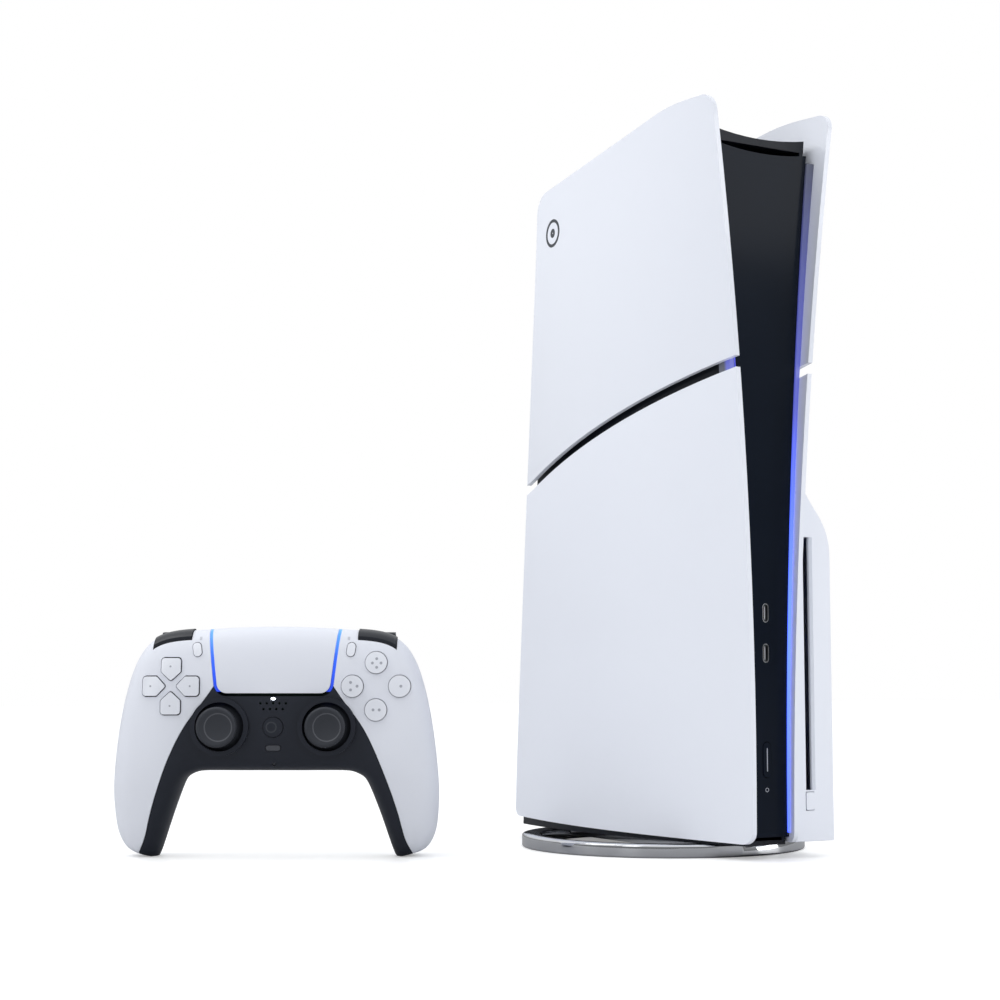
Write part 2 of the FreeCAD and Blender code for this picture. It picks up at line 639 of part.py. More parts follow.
def make_drive():
    """Drive tray and lid around the disc's path, the spindle, the feed roller and the eject button."""
    plane = size("slot_centre_x")
    front = core_line(size("core_foot")) + GUIDE_DEPTH + size("move_gap")
    rear = size("bay_rear") - 10
    foot, top = 20.0, size("slot_foot") + size("slot_length") + 3.5
    wall_x = size("bay_wall") + size("seat_gap")
    tray = Part.makeBox(13.0, rear - front, top - foot, Vector(wall_x, front, foot))
    path = Part.makeBox(WIDE, rear - front - 12.0, size("slot_length") + 2, Vector(
        wall_x + 2.0, front - 1, size("slot_foot") - 1))
    shaft = Part.makeCylinder(2.2, WIDE, Vector(0, size("disc_centre_y"), 95.2), Vector(1, 0, 0))
    eject_bay = Part.makeBox(30, 14, 12, Vector(wall_x + 2, front - 1, size("slot_foot") - 13))
    room = bulge(size("panel_wall") + size("move_gap"))
    node(solid("tray_shape", tray.cut(path).cut(shaft).cut(eject_bay).common(room)), "drive_tray")

    lid_x = wall_x + 13.0 + size("seat_gap")
    lid = Part.makeBox(1.4, rear - front, top - foot, Vector(lid_x, front, foot))
    rib = Part.makeTorus(45.0, 2.0, Vector(lid_x + 1.4, size("disc_centre_y"), 95.2), Vector(1, 0, 0))
    rib = rib.common(Part.makeBox(1.2, WIDE, WIDE, Vector(lid_x + 1.0, -WIDE / 2 - 27, 0)))
    node(solid("lid_shape", lid.fuse(rib).common(room)), "drive_lid")

    slot_left = plane - size("slot_width") / 2
    y, z = size("disc_centre_y"), 95.2
    table = Part.makeCylinder(14.0, 0.9, Vector(wall_x + 2.6, y, z), Vector(1, 0, 0))
    hub_length = slot_left - size("seat_gap") - wall_x - 3.4
    hub = Part.makeCone(7.4, 6.6, hub_length, Vector(wall_x + 3.4, y, z), Vector(1, 0, 0))
    axle = Part.makeCylinder(2.0, 3.0, Vector(wall_x + 0.2, y, z), Vector(1, 0, 0))
    node(solid("spindle_shape", table.fuse([hub, axle])), "drive_spindle")

    radius = 1.2
    roller_x = slot_left - radius - 0.2
    roller_foot = Vector(roller_x, front + 6, size("slot_foot") - 0.7)
    roller = Part.makeCylinder(radius, size("slot_length") + 1.4, roller_foot)
    node(solid("roller_shape", roller), "drive_roller")

    gap = 1.0
    face = size("drive_front")
    low = size("slot_foot") - gap - size("eject_height")
    cap = Part.makeBox(size("slot_width"), 4.0, size("eject_height"), Vector(slot_left, face - 0.4, low))
    cap = cap.makeFillet(0.9, [e for e in cap.Edges if abs(e.tangentAt(e.FirstParameter).y) > 0.9])
    lip_corner = Vector(slot_left - 1, face + 4.0 - 0.4, low - 0.8)
    lip = Part.makeBox(size("slot_width") + 2, 0.9, size("eject_height") + 1.6, lip_corner)
    node(solid("eject_shape", cap.fuse(lip)), "eject_button")


# ---------------------------------------------------------------- cooling and electronics

def make_cooling():
    """Fan, fan frame and heat sink."""
    y, z, radius, half = size("fan_y"), size("fan_z"), size("fan_radius"), size("fan_half")
    hub = Part.makeCylinder(18.0, 2 * half, Vector(-half, y, z), Vector(1, 0, 0))
    blades = []
    blade_count = 17
    for k in range(blade_count):
        blade = Part.makeBox(2 * half - 2, radius - 16.5, 1.6, Vector(-half + 1, 16.5, -0.8))
        blade.rotate(Vector(), Vector(0, 1, 0), 38)
        ring_keep = Part.makeBox(2 * half, 2 * radius, 2 * radius, Vector(-half, -radius, -radius))
        blade = blade.common(ring_keep)
        blade.rotate(Vector(), Vector(1, 0, 0), 360.0 * k / blade_count)
        blade.translate(Vector(0, y, z))
        blades.append(blade)
    limit = Part.makeCylinder(radius, 2 * half, Vector(-half, y, z), Vector(1, 0, 0))
    bore = Part.makeCylinder(5.2, 12.0, Vector(-half - 1, y, z), Vector(1, 0, 0))
    node(solid("rotor_shape", hub.fuse(blades).common(limit).cut(bore)), "fan_rotor")

    reach = radius + size("fan_gap") + size("frame_margin")
    thick = size("frame_half")
    frame = Part.makeBox(2 * thick, 2 * reach, 2 * reach, Vector(-thick, y - reach, z - reach))
    well_start = Vector(-thick - 1, y, z)
    well = Part.makeCylinder(radius + size("fan_gap"), 2 * thick + 2, well_start, Vector(1, 0, 0))
    frame = frame.cut(well)
    post = Part.makeCylinder(5.0, thick - half + 8.0, Vector(-thick, y, z), Vector(1, 0, 0))
    struts = []
    for k in range(3):
        strut = Part.makeBox(thick - half - 0.8, radius + 4.0, 5.0, Vector(-thick, 0, -2.5))
        strut.rotate(Vector(), Vector(1, 0, 0), 90 + 120 * k)
        strut.translate(Vector(0, y, z))
        struts.append(strut)
    plate = Part.makeCylinder(14.0, thick - half - 0.8, Vector(-thick, y, z), Vector(1, 0, 0))
    node(solid("frame_shape", frame.fuse(struts + [plate, post])), "fan_frame")

    fin_front = y + reach + 0.3
    fins = []
    depth = 24.0
    for k in range(28):
        fins.append(Part.makeBox(28.0, depth, 1.0, Vector(-14.0, fin_front, z - 58.0 + 4.2 * k)))
    for k in range(3):
        pipe_y = fin_front + 5.0 + 7.0 * k
        fins.append(Part.makeCylinder(2.2, 4.2 * 27 + 6, Vector(-6.0 + 6.0 * k, pipe_y, z - 60.0)))
    node(solid("sink_shape", fins[0].fuse(fins[1:])), "heat_sink")


def make_electronics():
    """Main board on its stand-offs and the power supply, which ends in front of the rear sockets."""
    board_x = size("bay_wall") - size("core_wall") - 5.0
    board = [Part.makeBox(1.6, 148.0, 150.0, Vector(board_x, -76.0, 18.0))]
    for y in (-68.0, 64.0):
        for z in (26.0, 160.0):
            foot = Vector(board_x + 1.6, y, z)
            board.append(Part.makeCylinder(2.5, 5.0 - 1.6 - size("seat_gap"), foot, Vector(1, 0, 0)))
    chips = [(30, 30, 2.4, -40, 110), (14, 12, 1.2, -60, 70), (14, 12, 1.2, -60, 90), (12, 14, 1.2, -30, 60),
             (22, 60, 3.0, -12, 30), (10, 10, 5.0, -66, 30), (10, 10, 5.0, -54, 30)]
    for width, height, thick, y, z in chips:
        board.append(Part.makeBox(thick, width, height, Vector(board_x - thick, y, z)))
    node(solid("board_shape", board[0].fuse(board[1:])), "main_board")

    psu_front, psu_gap = 14.0, 0.3
    socket_ends = [rear_line(z) - SOCKET_SINK - SOCKET_DEPTH for _, z, _, _ in [LAN, HDMI] + USB_SLOTS]
    inlet_end = rear_line(INLET[1]) - INLET_SINK - INLET_DEPTH
    psu_depth = min(socket_ends + [inlet_end]) - psu_gap - psu_front
    psu = block("psu_block", "34", str(psu_depth), "92", str(board_x - 34.3), str(psu_front), "22")
    well = rod("psu_vent", "16", "3", str(board_x - 34.4), "44", "68", axis="X")
    node(cut("psu", psu, well), "power_supply")


# ---------------------------------------------------------------- rear

LAN = (-6.0, 52.0, 13.0, 10.6)  # centre x, centre z, width, height of the network socket
HDMI = (-6.0, 72.0, 15.4, 5.8)
USB_SLOTS = [(-6.0, 92.0, 13.6, 6.4), (-6.0, 106.0, 13.6, 6.4)]
INLET = (-6.0, 30.0, 20.0, 11.0)
SOCKET_DEPTH, SOCKET_SINK = 14.0, 0.3  # how deep a socket's shell is, and how far behind the plate it starts
INLET_DEPTH, INLET_SINK = 16.0, 0.4


def rear_socket(place, wall, depth, y):
    """A rectangular socket shell that opens to the rear."""
    x, z, width, height = place
    shell = Part.makeBox(width, depth, height, Vector(x - width / 2, y - depth, z - height / 2))
    room = Part.makeBox(width - 2 * wall, depth, height - 2 * wall, Vector(
        x - width / 2 + wall, y - depth + wall, z - height / 2 + wall))
    return shell.cut(room)


def make_rear():
    """Slotted rear plate with its sockets, and the screws that hold it."""
    gap, wall = size("seat_gap"), size("strip_wall")
    plate = CORE.common(strip_band(rear_line, 0, -wall, size("core_foot"), size("core_top_rear")))
    for k in range(20):
        z = 182.0 + 7.6 * k
        reach = half_width(80, z) - size("core_inset") - size("core_flare") - 6.0
        plate = plate.cut(Part.makeBox(2 * reach, 40, 3.6, Vector(-reach, 60, z)))
    sockets, inlets = [], []
    for place in [LAN, HDMI] + USB_SLOTS + [INLET]:
        x, z, width, height = place
        y = rear_line(z)
        plate = plate.cut(Part.makeBox(width + 2 * gap, 40, height + 2 * gap, Vector(
            x - width / 2 - gap, y - 20, z - height / 2 - gap)))
        if place is INLET:
            shell = rear_socket(place, 1.6, INLET_DEPTH, y - INLET_SINK)
            feet = [Vector(x + dx, y - INLET_DEPTH, z) for dx in (-4.3, 4.3)]
            inlets.append(shell.fuse([Part.makeCylinder(1.2, 11.0, foot, Vector(0, 1, 0)) for foot in feet]))
        else:
            shell = rear_socket(place, 0.5, SOCKET_DEPTH, y - SOCKET_SINK)
            if place is not LAN:
                tongue = Part.makeBox(width - 4, 9.0, 1.6, Vector(x - width / 2 + 2, y - 13.9, z - 0.8))
                shell = shell.fuse(tongue)
            sockets.append(shell)
    screws, corners = [], [(-18.0, 150.0), (18.0, 178.0), (-18.0, 20.0), (0.0, 340.0)]
    for x, z in corners:
        y = rear_line(z)
        plate = plate.cut(Part.makeCylinder(1.7, 20.0, Vector(x, y - 12, z), Vector(0, 1, 0)))
        plate = plate.cut(Part.makeCylinder(3.2, 20.0, Vector(x, y - 1.4, z), Vector(0, 1, 0)))
        head = Part.makeCylinder(2.9, 1.3, Vector(x, y - 1.25, z), Vector(0, 1, 0))
        shank = Part.makeCylinder(1.5, 9.0, Vector(x, y - 10.0, z), Vector(0, 1, 0))
        drive = Part.makePolygon([Vector(x + 1.4 * math.cos(k * math.pi / 3), y + 0.3, z + 1.4 * math.sin(
            k * math.pi / 3)) for k in range(7)])
        screws.append(head.fuse(shank).cut(prism(Part.Wire(drive), Vector(0, -1.1, 0))))
    node(solid("rear_plate_shape", plate), "rear_plate")
    node(solid("socket_shapes", Part.makeCompound(sockets)), "rear_sockets")
    node(solid("inlet_shape", inlets[0]), "power_inlet")
    node(solid("rear_screw_shapes", Part.makeCompound(screws)), "rear_screws")


# ---------------------------------------------------------------- the controller's form

# (outer point, inner point, depth of the middle, half thickness, squareness) from the tip of the left
# grip to the middle of the controller. Points are (sideways, height).
GRIP_STATIONS = [
    ((-71.8, 2.6), (-59.6, -0.6), 12.0, 8.5, 2.2),
    ((-77.2, 8.6), (-57.6, 3.0), 11.0, 12.5, 2.3),
    ((-79.9, 21.0), (-52.8, 17.0), 8.5, 15.5, 2.4),
    ((-80.2, 36.0), (-47.0, 32.6), 5.0, 17.0, 2.5),
    ((-78.3, 56.0), (-44.4, 38.0), 2.5, 17.6, 2.6),
    ((-73.0, 84.0), (-42.0, 40.2), 1.0, 17.0, 2.8),
    ((-60.5, 106.6), (-38.4, 41.8), 0.0, 15.6, 3.0),
    ((-40.0, 111.4), (-33.0, 42.4), 0.0, 15.4, 3.0),
    ((-19.0, 112.7), (-17.0, 42.4), 0.0, 15.5, 3.0),
]
MIDDLE_STATION = ((0.0, 113.1), (0.0, 42.4), 0.0, 15.6, 3.0)


def mirrored(shape):
    """The same form on the other side of the controller."""
    return shape.mirror(Vector(), Vector(1, 0, 0))


THINNEST = 1.2  # half sizes never shrink below this towards the tips of the grips


def pad_section(station, side, inset):
    """One closed section of the controller's body: a curve over the front and one over the back."""
    (outer_x, outer_z), (inner_x, inner_z), middle_y, half, squareness = station
    outer, inner = Vector(side * outer_x, 0, outer_z), Vector(side * inner_x, 0, inner_z)
    centre = (outer + inner) * 0.5 + Vector(0, middle_y, 0)
    reach = (outer - inner).normalize() * max(THINNEST, (outer - inner).Length / 2 - inset)
    front = Vector(0, -max(THINNEST, half - inset), 0)
    pull = (8 * 0.5 ** (1 / squareness) - 4) / 3
    edges = []
    for start, crest in ((reach, front), (reach * -1, front * -1)):
        end = start * -1
        poles = [start, start + crest * pull, crest + start * pull, crest]
        poles += [crest + end * pull, end + crest * pull, end]
        curve = Part.BSplineCurve()
        curve.buildFromPolesMultsKnots([centre + p for p in poles], [4, 3, 4], [0, 1, 2], False, 3)
        edges.append(curve.toShape())
    return Part.Wire(edges)


PAD_FORMS = {}


def pad_form(inset):
    """The controller's whole body, inset from its outer surface, standing on the floor."""
    if inset not in PAD_FORMS:
        left = [pad_section(s, 1, inset) for s in GRIP_STATIONS]
        right = [pad_section(s, -1, inset) for s in reversed(GRIP_STATIONS)]
        form = Part.makeLoft(left + [pad_section(MIDDLE_STATION, 1, inset)] + right, True, False)
        floor = Part.makeBox(2 * WIDE, WIDE, WIDE, Vector(-WIDE, -WIDE / 2, max(0.0, inset)))
        PAD_FORMS[inset] = form.common(floor)
    return PAD_FORMS[inset]


def in_layer(tool, outer, inner):
    """What a tool keeps of the controller's body between two insets."""
    return tool.common(pad_form(outer)).cut(pad_form(inner))


def everything(y_from=-60.0, y_to=60.0):
    """A block that spans the controller between two depths."""
    return Part.makeBox(2 * WIDE, y_to - y_from, WIDE, Vector(-WIDE, y_from, 0))


def everything_below(z):
    """A block under a height that spans the controller, for the pieces that pass under a bumper."""
    return Part.makeBox(2 * WIDE, 2 * WIDE, z, Vector(-WIDE, -WIDE, 0))


def pad_half(front, gap):
    """Everything in front of, or behind, the joint between the shells. It leans back at the grips."""
    curve = Part.BSplineCurve()
    shift = -gap / 2 if front else gap / 2
    joint = [(17.0, -12.0), (12.0, 8.0), (7.5, 26.0), (3.0, 50.0), (1.0, 84.0), (1.0, 140.0)]
    curve.interpolate([Vector(-WIDE, y + shift, z) for y, z in joint])
    far = -WIDE if front else WIDE
    start, end = Vector(-WIDE, joint[0][0] + shift, -12.0), Vector(-WIDE, joint[-1][0] + shift, 140.0)
    corners = [end, Vector(-WIDE, far, 140.0), Vector(-WIDE, far, -12.0), start]
    lines = [Part.LineSegment(corners[k], corners[k + 1]).toShape() for k in range(3)]
    return prism(Part.Wire([curve.toShape()] + lines), Vector(2 * WIDE, 0, 0))


def front_prism(corners, y_from=-60.0, y_to=60.0):
    """A prism along Y over a front view of (x, z, radius) corners."""
    return prism(rounded([(Vector(x, y_from, z), r) for x, z, r in corners]), Vector(0, y_to - y_from, 0))


def round_prism(x, z, radius, y_from=-60.0, y_to=60.0):
    return Part.makeCylinder(radius, y_to - y_from, Vector(x, y_from, z), Vector(0, 1, 0))


def pill_prism(x, z, width, height, lean, y_from=-60.0, y_to=60.0):
    """A prism along Y with round ends, leaning by an angle in the front view."""
    r = min(width, height) / 2 - 0.001
    w, h = width / 2, height / 2
    form = front_prism([(-w, -h, r), (w, -h, r), (w, h, r), (-w, h, r)], y_from, y_to)
    form.rotate(Vector(), Vector(0, 1, 0), lean)
    form.translate(Vector(x, 0, z))
    return form


def touch_outline(grow):
    """Front view of the touchpad, grown on its sides and its lower edge."""
    low = 80.3 - grow
    left = [(-32.6 - grow, 125.0, 0), (-27.2 - grow, low, 5.0 + grow)]
    return front_prism(left + [(-x, z, r) for x, z, r in reversed(left)])


TRIM_EDGE = [(-68.9, -6.0), (-67.1, 2.4), (-64.8, 6.9), (-61.5, 18.0), (-58.2, 29.2), (-54.2, 40.4),
             (-48.7, 53.7), (-42.0, 66.0), (-37.0, 72.7), (-32.0, 79.4), (-28.6, 84.5)]


def trim_outline(grow):
    """Front view of the dark trim, from the touchpad down to both grips' tips."""
    left = [Vector(x - grow, -60.0, z) for x, z in TRIM_EDGE]
    right = [Vector(-p.x, p.y, p.z) for p in reversed(left)]
    edges = []
    for points in (left, right):
        curve = Part.BSplineCurve()
        curve.interpolate(points)
        edges.append(curve.toShape())
    edges.insert(1, Part.LineSegment(left[-1], right[0]).toShape())
    edges.append(Part.LineSegment(right[-1], left[0]).toShape())
    return prism(Part.Wire(edges), Vector(0, 120.0, 0))


def arrow(turn, grow):
    """Front view of one arm of the direction pad, pointed towards the middle."""
    w, reach, shoulder = 4.7, 13.7, 6.9
    g = grow
    tip = shoulder - w + 0.4
    form = front_prism([(-w - g, reach + g, 1.6 + g), (-w - g, shoulder, 1.0), (0, tip - 1.4 * g, 1.0 + g),
                        (w + g, shoulder, 1.0), (w + g, reach + g, 1.6 + g)])
    form.rotate(Vector(), Vector(0, 1, 0), turn)
    form.translate(Vector(-size("keys_x"), 0, size("keys_z")))
    return form


def front_y(x, z, inset):
    """Y of the controller's front surface at a place in the front view."""
    probe = Part.makeLine(Vector(x, -60, z), Vector(x, 0, z)).common(pad_form(inset))
    return probe.BoundBox.YMin


# name, sideways, height, radius or (width, height, lean), travel
ACTION_KEYS = [("north", 0, 1), ("east", 1, 0), ("south", 0, -1), ("west", -1, 0)]
SIDE_KEYS = [("key_create", -37.6, 101.6, -9.0), ("key_options", 37.6, 101.6, 9.0)]
SIDE_KEY_SIZE = (4.0, 6.8)
HOME_KEY = (0.0, 63.8, 4.8)
MUTE_KEY = (0.0, 53.7, 7.0, 2.6)
BUMPER = (-59.5, -41.0, -10.8, 3.6)  # left, right, front and rear of a bumper
BALL_RADIUS = 2.0  # the ball that the direction pad rocks on
BUMPER_FOOT, BUMPER_TRAVEL = 102.1, 0.9  # underside of a bumper at rest, and how far it is pressed down
TRIGGER_SPAN = (-58.0, -38.2)
TRIGGER_PIVOT = (6.5, 98.0)


def key_form(name, place, outline, flange, wall, proud, stem_end):
    """A key whose face follows the shell, with a flange behind the shell and a stem."""
    x, z = place
    body = in_layer(outline, -proud, wall + 1.4)
    rim = in_layer(flange, wall + 0.3, wall + 1.4)
    start = front_y(x, z, wall + 0.6)
    stem = Part.makeCylinder(1.6, stem_end - start, Vector(x, start, z), Vector(0, 1, 0))
    return solid(name + "_shape", body.fuse([rim, stem]))


def action_places():
    spread = size("key_spread")
    x, z = size("keys_x"), size("keys_z")
    return [(name, x + dx * spread, z + dz * spread) for name, dx, dz in ACTION_KEYS]


def screw_places():
    """(x, z) of the screws that close the controller."""
    return [(-55.0, 53.0), (55.0, 53.0), (-24.0, 46.6), (24.0, 46.6)]


def stick_domes(grow):
    """The two balls that the thumb sticks' domes sweep, grown by a clearance."""
    centres = [Vector(x, -size("stick_depth"), size("stick_z")) for x in (-size("stick_x"), size("stick_x"))]
    return [Part.makeSphere(size("stick_dome") + grow, centre) for centre in centres]


def shoulder_opening(grow):
    """The openings for the bumpers and the triggers on both shoulders."""
    left, right, front, rear = BUMPER
    floor = BUMPER_FOOT - BUMPER_TRAVEL - 0.1
    bumper = Part.makeBox(
        right - left + 2 * grow, rear - front + 2 * grow, 40, Vector(left - grow, front - grow, floor)
    )
    t_left, t_right = TRIGGER_SPAN
    trigger = Part.makeBox(t_right - t_left + 2 * grow, 60, 60, Vector(t_left - grow, 3.7, 93.6))
    one = bumper.fuse(trigger)
    return [one, mirrored(one)]


def pad_placement():
    turn = Rotation(Vector(0, 0, 1), size("pad_turn"))
    return Placement(Vector(size("pad_x"), size("pad_y"), 0), turn)


def pad_node(thing, label):
    return node(thing, label, pad_placement())


def make_pad_shells():
    """Front shell, dark trim, touchpad, light bars and back shell."""
    wall, seam = size("pad_wall"), size("pad_seam")
    front = pad_half(True, seam)
    openings = shoulder_opening(0.35)
    keys_gap = size("move_gap")

    skin = in_layer(everything(), 0, wall)
    wings = skin.common(front).cut([trim_outline(seam), touch_outline(1.5)] + openings)
    holes = [arrow(turn, 0.5) for turn in (0, 90, 180, 270)]
    holes += [round_prism(x, z, size("key_radius") + keys_gap) for _, x, z in action_places()]
    w, h = SIDE_KEY_SIZE
    holes += [pill_prism(x, z, w + 2 * keys_gap, h + 2 * keys_gap, lean) for _, x, z, lean in SIDE_KEYS]
    only_front = Part.makeBox(2 * WIDE, WIDE, WIDE, Vector(-WIDE, -WIDE - 4, 0))
    wings = wings.cut([h.common(only_front) for h in holes])
    bars = []
    for x_half, low, high in ((58.0, 43.4, 49.4), (40.0, 100.0, 106.5)):
        bar = Part.makeBox(2 * x_half, 30, high - low, Vector(-x_half, -34, low))
        bars.append(in_layer(bar, 1.6, 3.4))
    bars[1] = bars[1].cut([h.common(only_front) for h in holes])
    rooms = []
    for x, z in screw_places():
        start = front_y(x, z, 1.9)
        boss = Part.makeCylinder(2.6, 0.8 - start, Vector(x, start, z), Vector(0, 1, 0))
        bars.append(boss.common(pad_form(1.4 + seam)))
        rooms.append(Part.makeCylinder(1.0, 9.0, Vector(x, -8.0, z), Vector(0, 1, 0)))
    rooms += stick_domes(size("move_gap"))
    rooms += [round_prism(x, size("stick_z"), size("stick_hole") + 2.3 + seam, -60, -10) for x in (
        -size("stick_x"), size("stick_x"))]
    pad_node(solid("front_shell", wings.fuse(bars).cut(rooms)), "shell_front")

    trim = in_layer(trim_outline(0).common(front), 0, 1.4).cut(touch_outline(1.5))
    rings = []
    for x in (-size("stick_x"), size("stick_x")):
        ring_front = front_y(x, size("stick_z"), 0) - 2.2
        ring = round_prism(x, size("stick_z"), size("stick_hole") + 2.3, ring_front, -10)
        rings.append(ring.cut(pad_form(1.4)))
    trim = trim.fuse(rings)
    trim = trim.cut([round_prism(x, size("stick_z"), size("stick_hole"), -60, -4) for x in (
        -size("stick_x"), size("stick_x"))])
    small = [round_prism(HOME_KEY[0], HOME_KEY[1], HOME_KEY[2] + 0.25, -60, 0)]
    small.append(pill_prism(MUTE_KEY[0], MUTE_KEY[1], MUTE_KEY[2] + 0.5, MUTE_KEY[3] + 0.5, 0, -60, 0))
    small += [round_prism(x, 75.4, 0.6, -60, 0) for x in (-6.2, -3.1, 0, 3.1, 6.2)]
    small += [round_prism(x, 72.6, 0.6, -60, 0) for x in (-4.65, -1.55, 1.55, 4.65)]
    small += [round_prism(0, 45.6, 0.7, -60, -5)]
    small += stick_domes(size("move_gap"))
    pad_node(solid("trim_shape", trim.cut(small)), "trim_plate")

    touch = in_layer(touch_outline(0).common(front), 0, 1.4)
    pad_node(solid("touch_shape", touch), "touchpad")
    band = touch_outline(1.5 - seam).cut(touch_outline(seam)).common(front)
    bars = in_layer(band, 0.15, 2.4)
    above = Part.makeBox(WIDE, WIDE, 40, Vector(-WIDE / 2, -WIDE / 2, 81.0))
    cross = Part.makeBox(WIDE, WIDE, 7.0, Vector(-WIDE / 2, -WIDE / 2, 99.75))
    bars = bars.common(above).cut(cross.common(pad_form(1.45)))
    pad_node(solid("bar_shapes", Part.makeCompound(bars.Solids)), "light_bars")

    back = skin.common(pad_half(False, seam)).cut(openings)
    port = pill_upright(0.0, PORT_MIDDLE, 9.4, 3.7, 90, 130)
    jack = Part.makeCylinder(3.4, 20, Vector(0, JACK_MIDDLE, 38), Vector(0, 0, 1))
    back = back.cut([port, jack])
    plinths, cores = [], []
    for motor in motor_forms(0.15):
        box = motor.BoundBox
        plinth = Part.makeBox(14, 30, 5, Vector(box.Center.x - 7, box.Center.y, box.Center.z - 2.5))
        plinths.append(plinth.common(pad_form(1.0)).common(pad_half(False, seam)))
        cores.append(motor)
    for x, z in screw_places():
        boss = Part.makeCylinder(2.9, 30, Vector(x, 1.9, z), Vector(0, 1, 0)).common(pad_form(0.6))
        plinths.append(boss.common(pad_half(False, seam)))
        cores.append(Part.makeCylinder(1.35, 40, Vector(x, -4, z), Vector(0, 1, 0)))
        cores.append(Part.makeCylinder(2.5, 40, Vector(x, back_y(x, z) - 1.6, z), Vector(0, 1, 0)))
    pad_node(solid("back_shell", back.fuse(plinths).cut(cores)), "shell_back")


def back_y(x, z):
    """Y of the controller's back surface at a place in the front view."""
    return Part.makeLine(Vector(x, 0, z), Vector(x, 60, z)).common(pad_form(0)).BoundBox.YMax


def pill_upright(x, y, width, depth, z_from, z_to):
    """A prism along Z with round ends, wider than deep."""
    r = depth / 2 - 0.001
    w, d = width / 2, depth / 2
    corners = [(Vector(x - w, y - d, z_from), r), (Vector(x + w, y - d, z_from), r),
               (Vector(x + w, y + d, z_from), r), (Vector(x - w, y + d, z_from), r)]
    return prism(rounded(corners), Vector(0, 0, z_to - z_from))


BOARD = (3.15, 1.2)  # front and thickness of the controller's circuit board
PORT_MIDDLE = 3.15 + 1.2 + 0.15 + 1.65
JACK_MIDDLE = 3.15 + 1.2 + 0.15 + 3.3


def motor_forms(grow):
    """The two vibration motors, one in each grip."""
    low, high = Vector(-66.6, 8.6, 19.0), Vector(-64.2, 5.0, 43.0)
    form = Part.makeCylinder(9.3 + grow, (high - low).Length + 2 * grow, low, high - low)
    return [form, mirrored(form)]


def make_pad_keys():
    """Direction pad, action keys and the small keys."""
    wall, proud = size("pad_wall"), size("key_proud")
    kx, kz = size("keys_x"), size("keys_z")
    only_front = everything(-60.0, -2.0)
    arms = [in_layer(arrow(turn, 0).common(only_front), -proud, wall + 3.2) for turn in (0, 90, 180, 270)]
    cross = [Part.makeBox(6.0, 38, 22.0, Vector(-kx - 3, -40, kz - 11)),
             Part.makeBox(22.0, 38, 6.0, Vector(-kx - 11, -40, kz - 3))]
    cross = [in_layer(c, wall + 1.4, wall + 3.2) for c in cross]
    ball_y = front_y(-kx, kz, wall + 3.2) + 0.6
    ball = Part.makeSphere(BALL_RADIUS, Vector(-kx, ball_y, kz))
    pocket = Part.makeSphere(BALL_RADIUS + 0.1, Vector(-kx, ball_y, kz))
    pad_node(solid("dpad_shape", arms[0].fuse(arms[1:] + cross).cut(pocket)), "dpad")
    pad_node(solid("ball_shape", ball), "dpad_pivot")

    for name, x, z in action_places():
        end = front_y(x, z, wall + 4.6) - 1.6
        outline = round_prism(x, z, size("key_radius"), -60, -2)
        flange = round_prism(x, z, size("key_radius") + 0.9, -60, -2)
        flange = flange.common(everything_below(BUMPER_FOOT - BUMPER_TRAVEL - 0.3))
        pad_node(key_form(f"key_{name}", (x, z), outline, flange, wall, proud, end), f"key_{name}")
    w, h = SIDE_KEY_SIZE
    for name, x, z, lean in SIDE_KEYS:
        outline = pill_prism(x, z, w, h, lean, -60, -2)
        flange = pill_prism(x, z, w + 1.4, h + 1.4, lean, -60, -2)
        key = in_layer(outline, -0.7, 4.7).fuse(in_layer(flange, 3.7, 4.7))
        pad_node(solid(name + "_shape", key), name)
    x, z, radius = HOME_KEY
    outline, flange = round_prism(x, z, radius, -60, -2), round_prism(x, z, radius + 0.9, -60, -2)
    pad_node(key_form("key_home", (x, z), outline, flange, 1.4, 0.5, BOARD[0] - 0.9), "key_home")
    x, z, w, h = MUTE_KEY
    outline, flange = pill_prism(x, z, w, h, 0, -60, -2), pill_prism(x, z, w + 1.4, h + 1.4, 0, -60, -2)
    pad_node(key_form("key_mute", (x, z), outline, flange, 1.4, 0.4, BOARD[0] - 0.9), "key_mute")


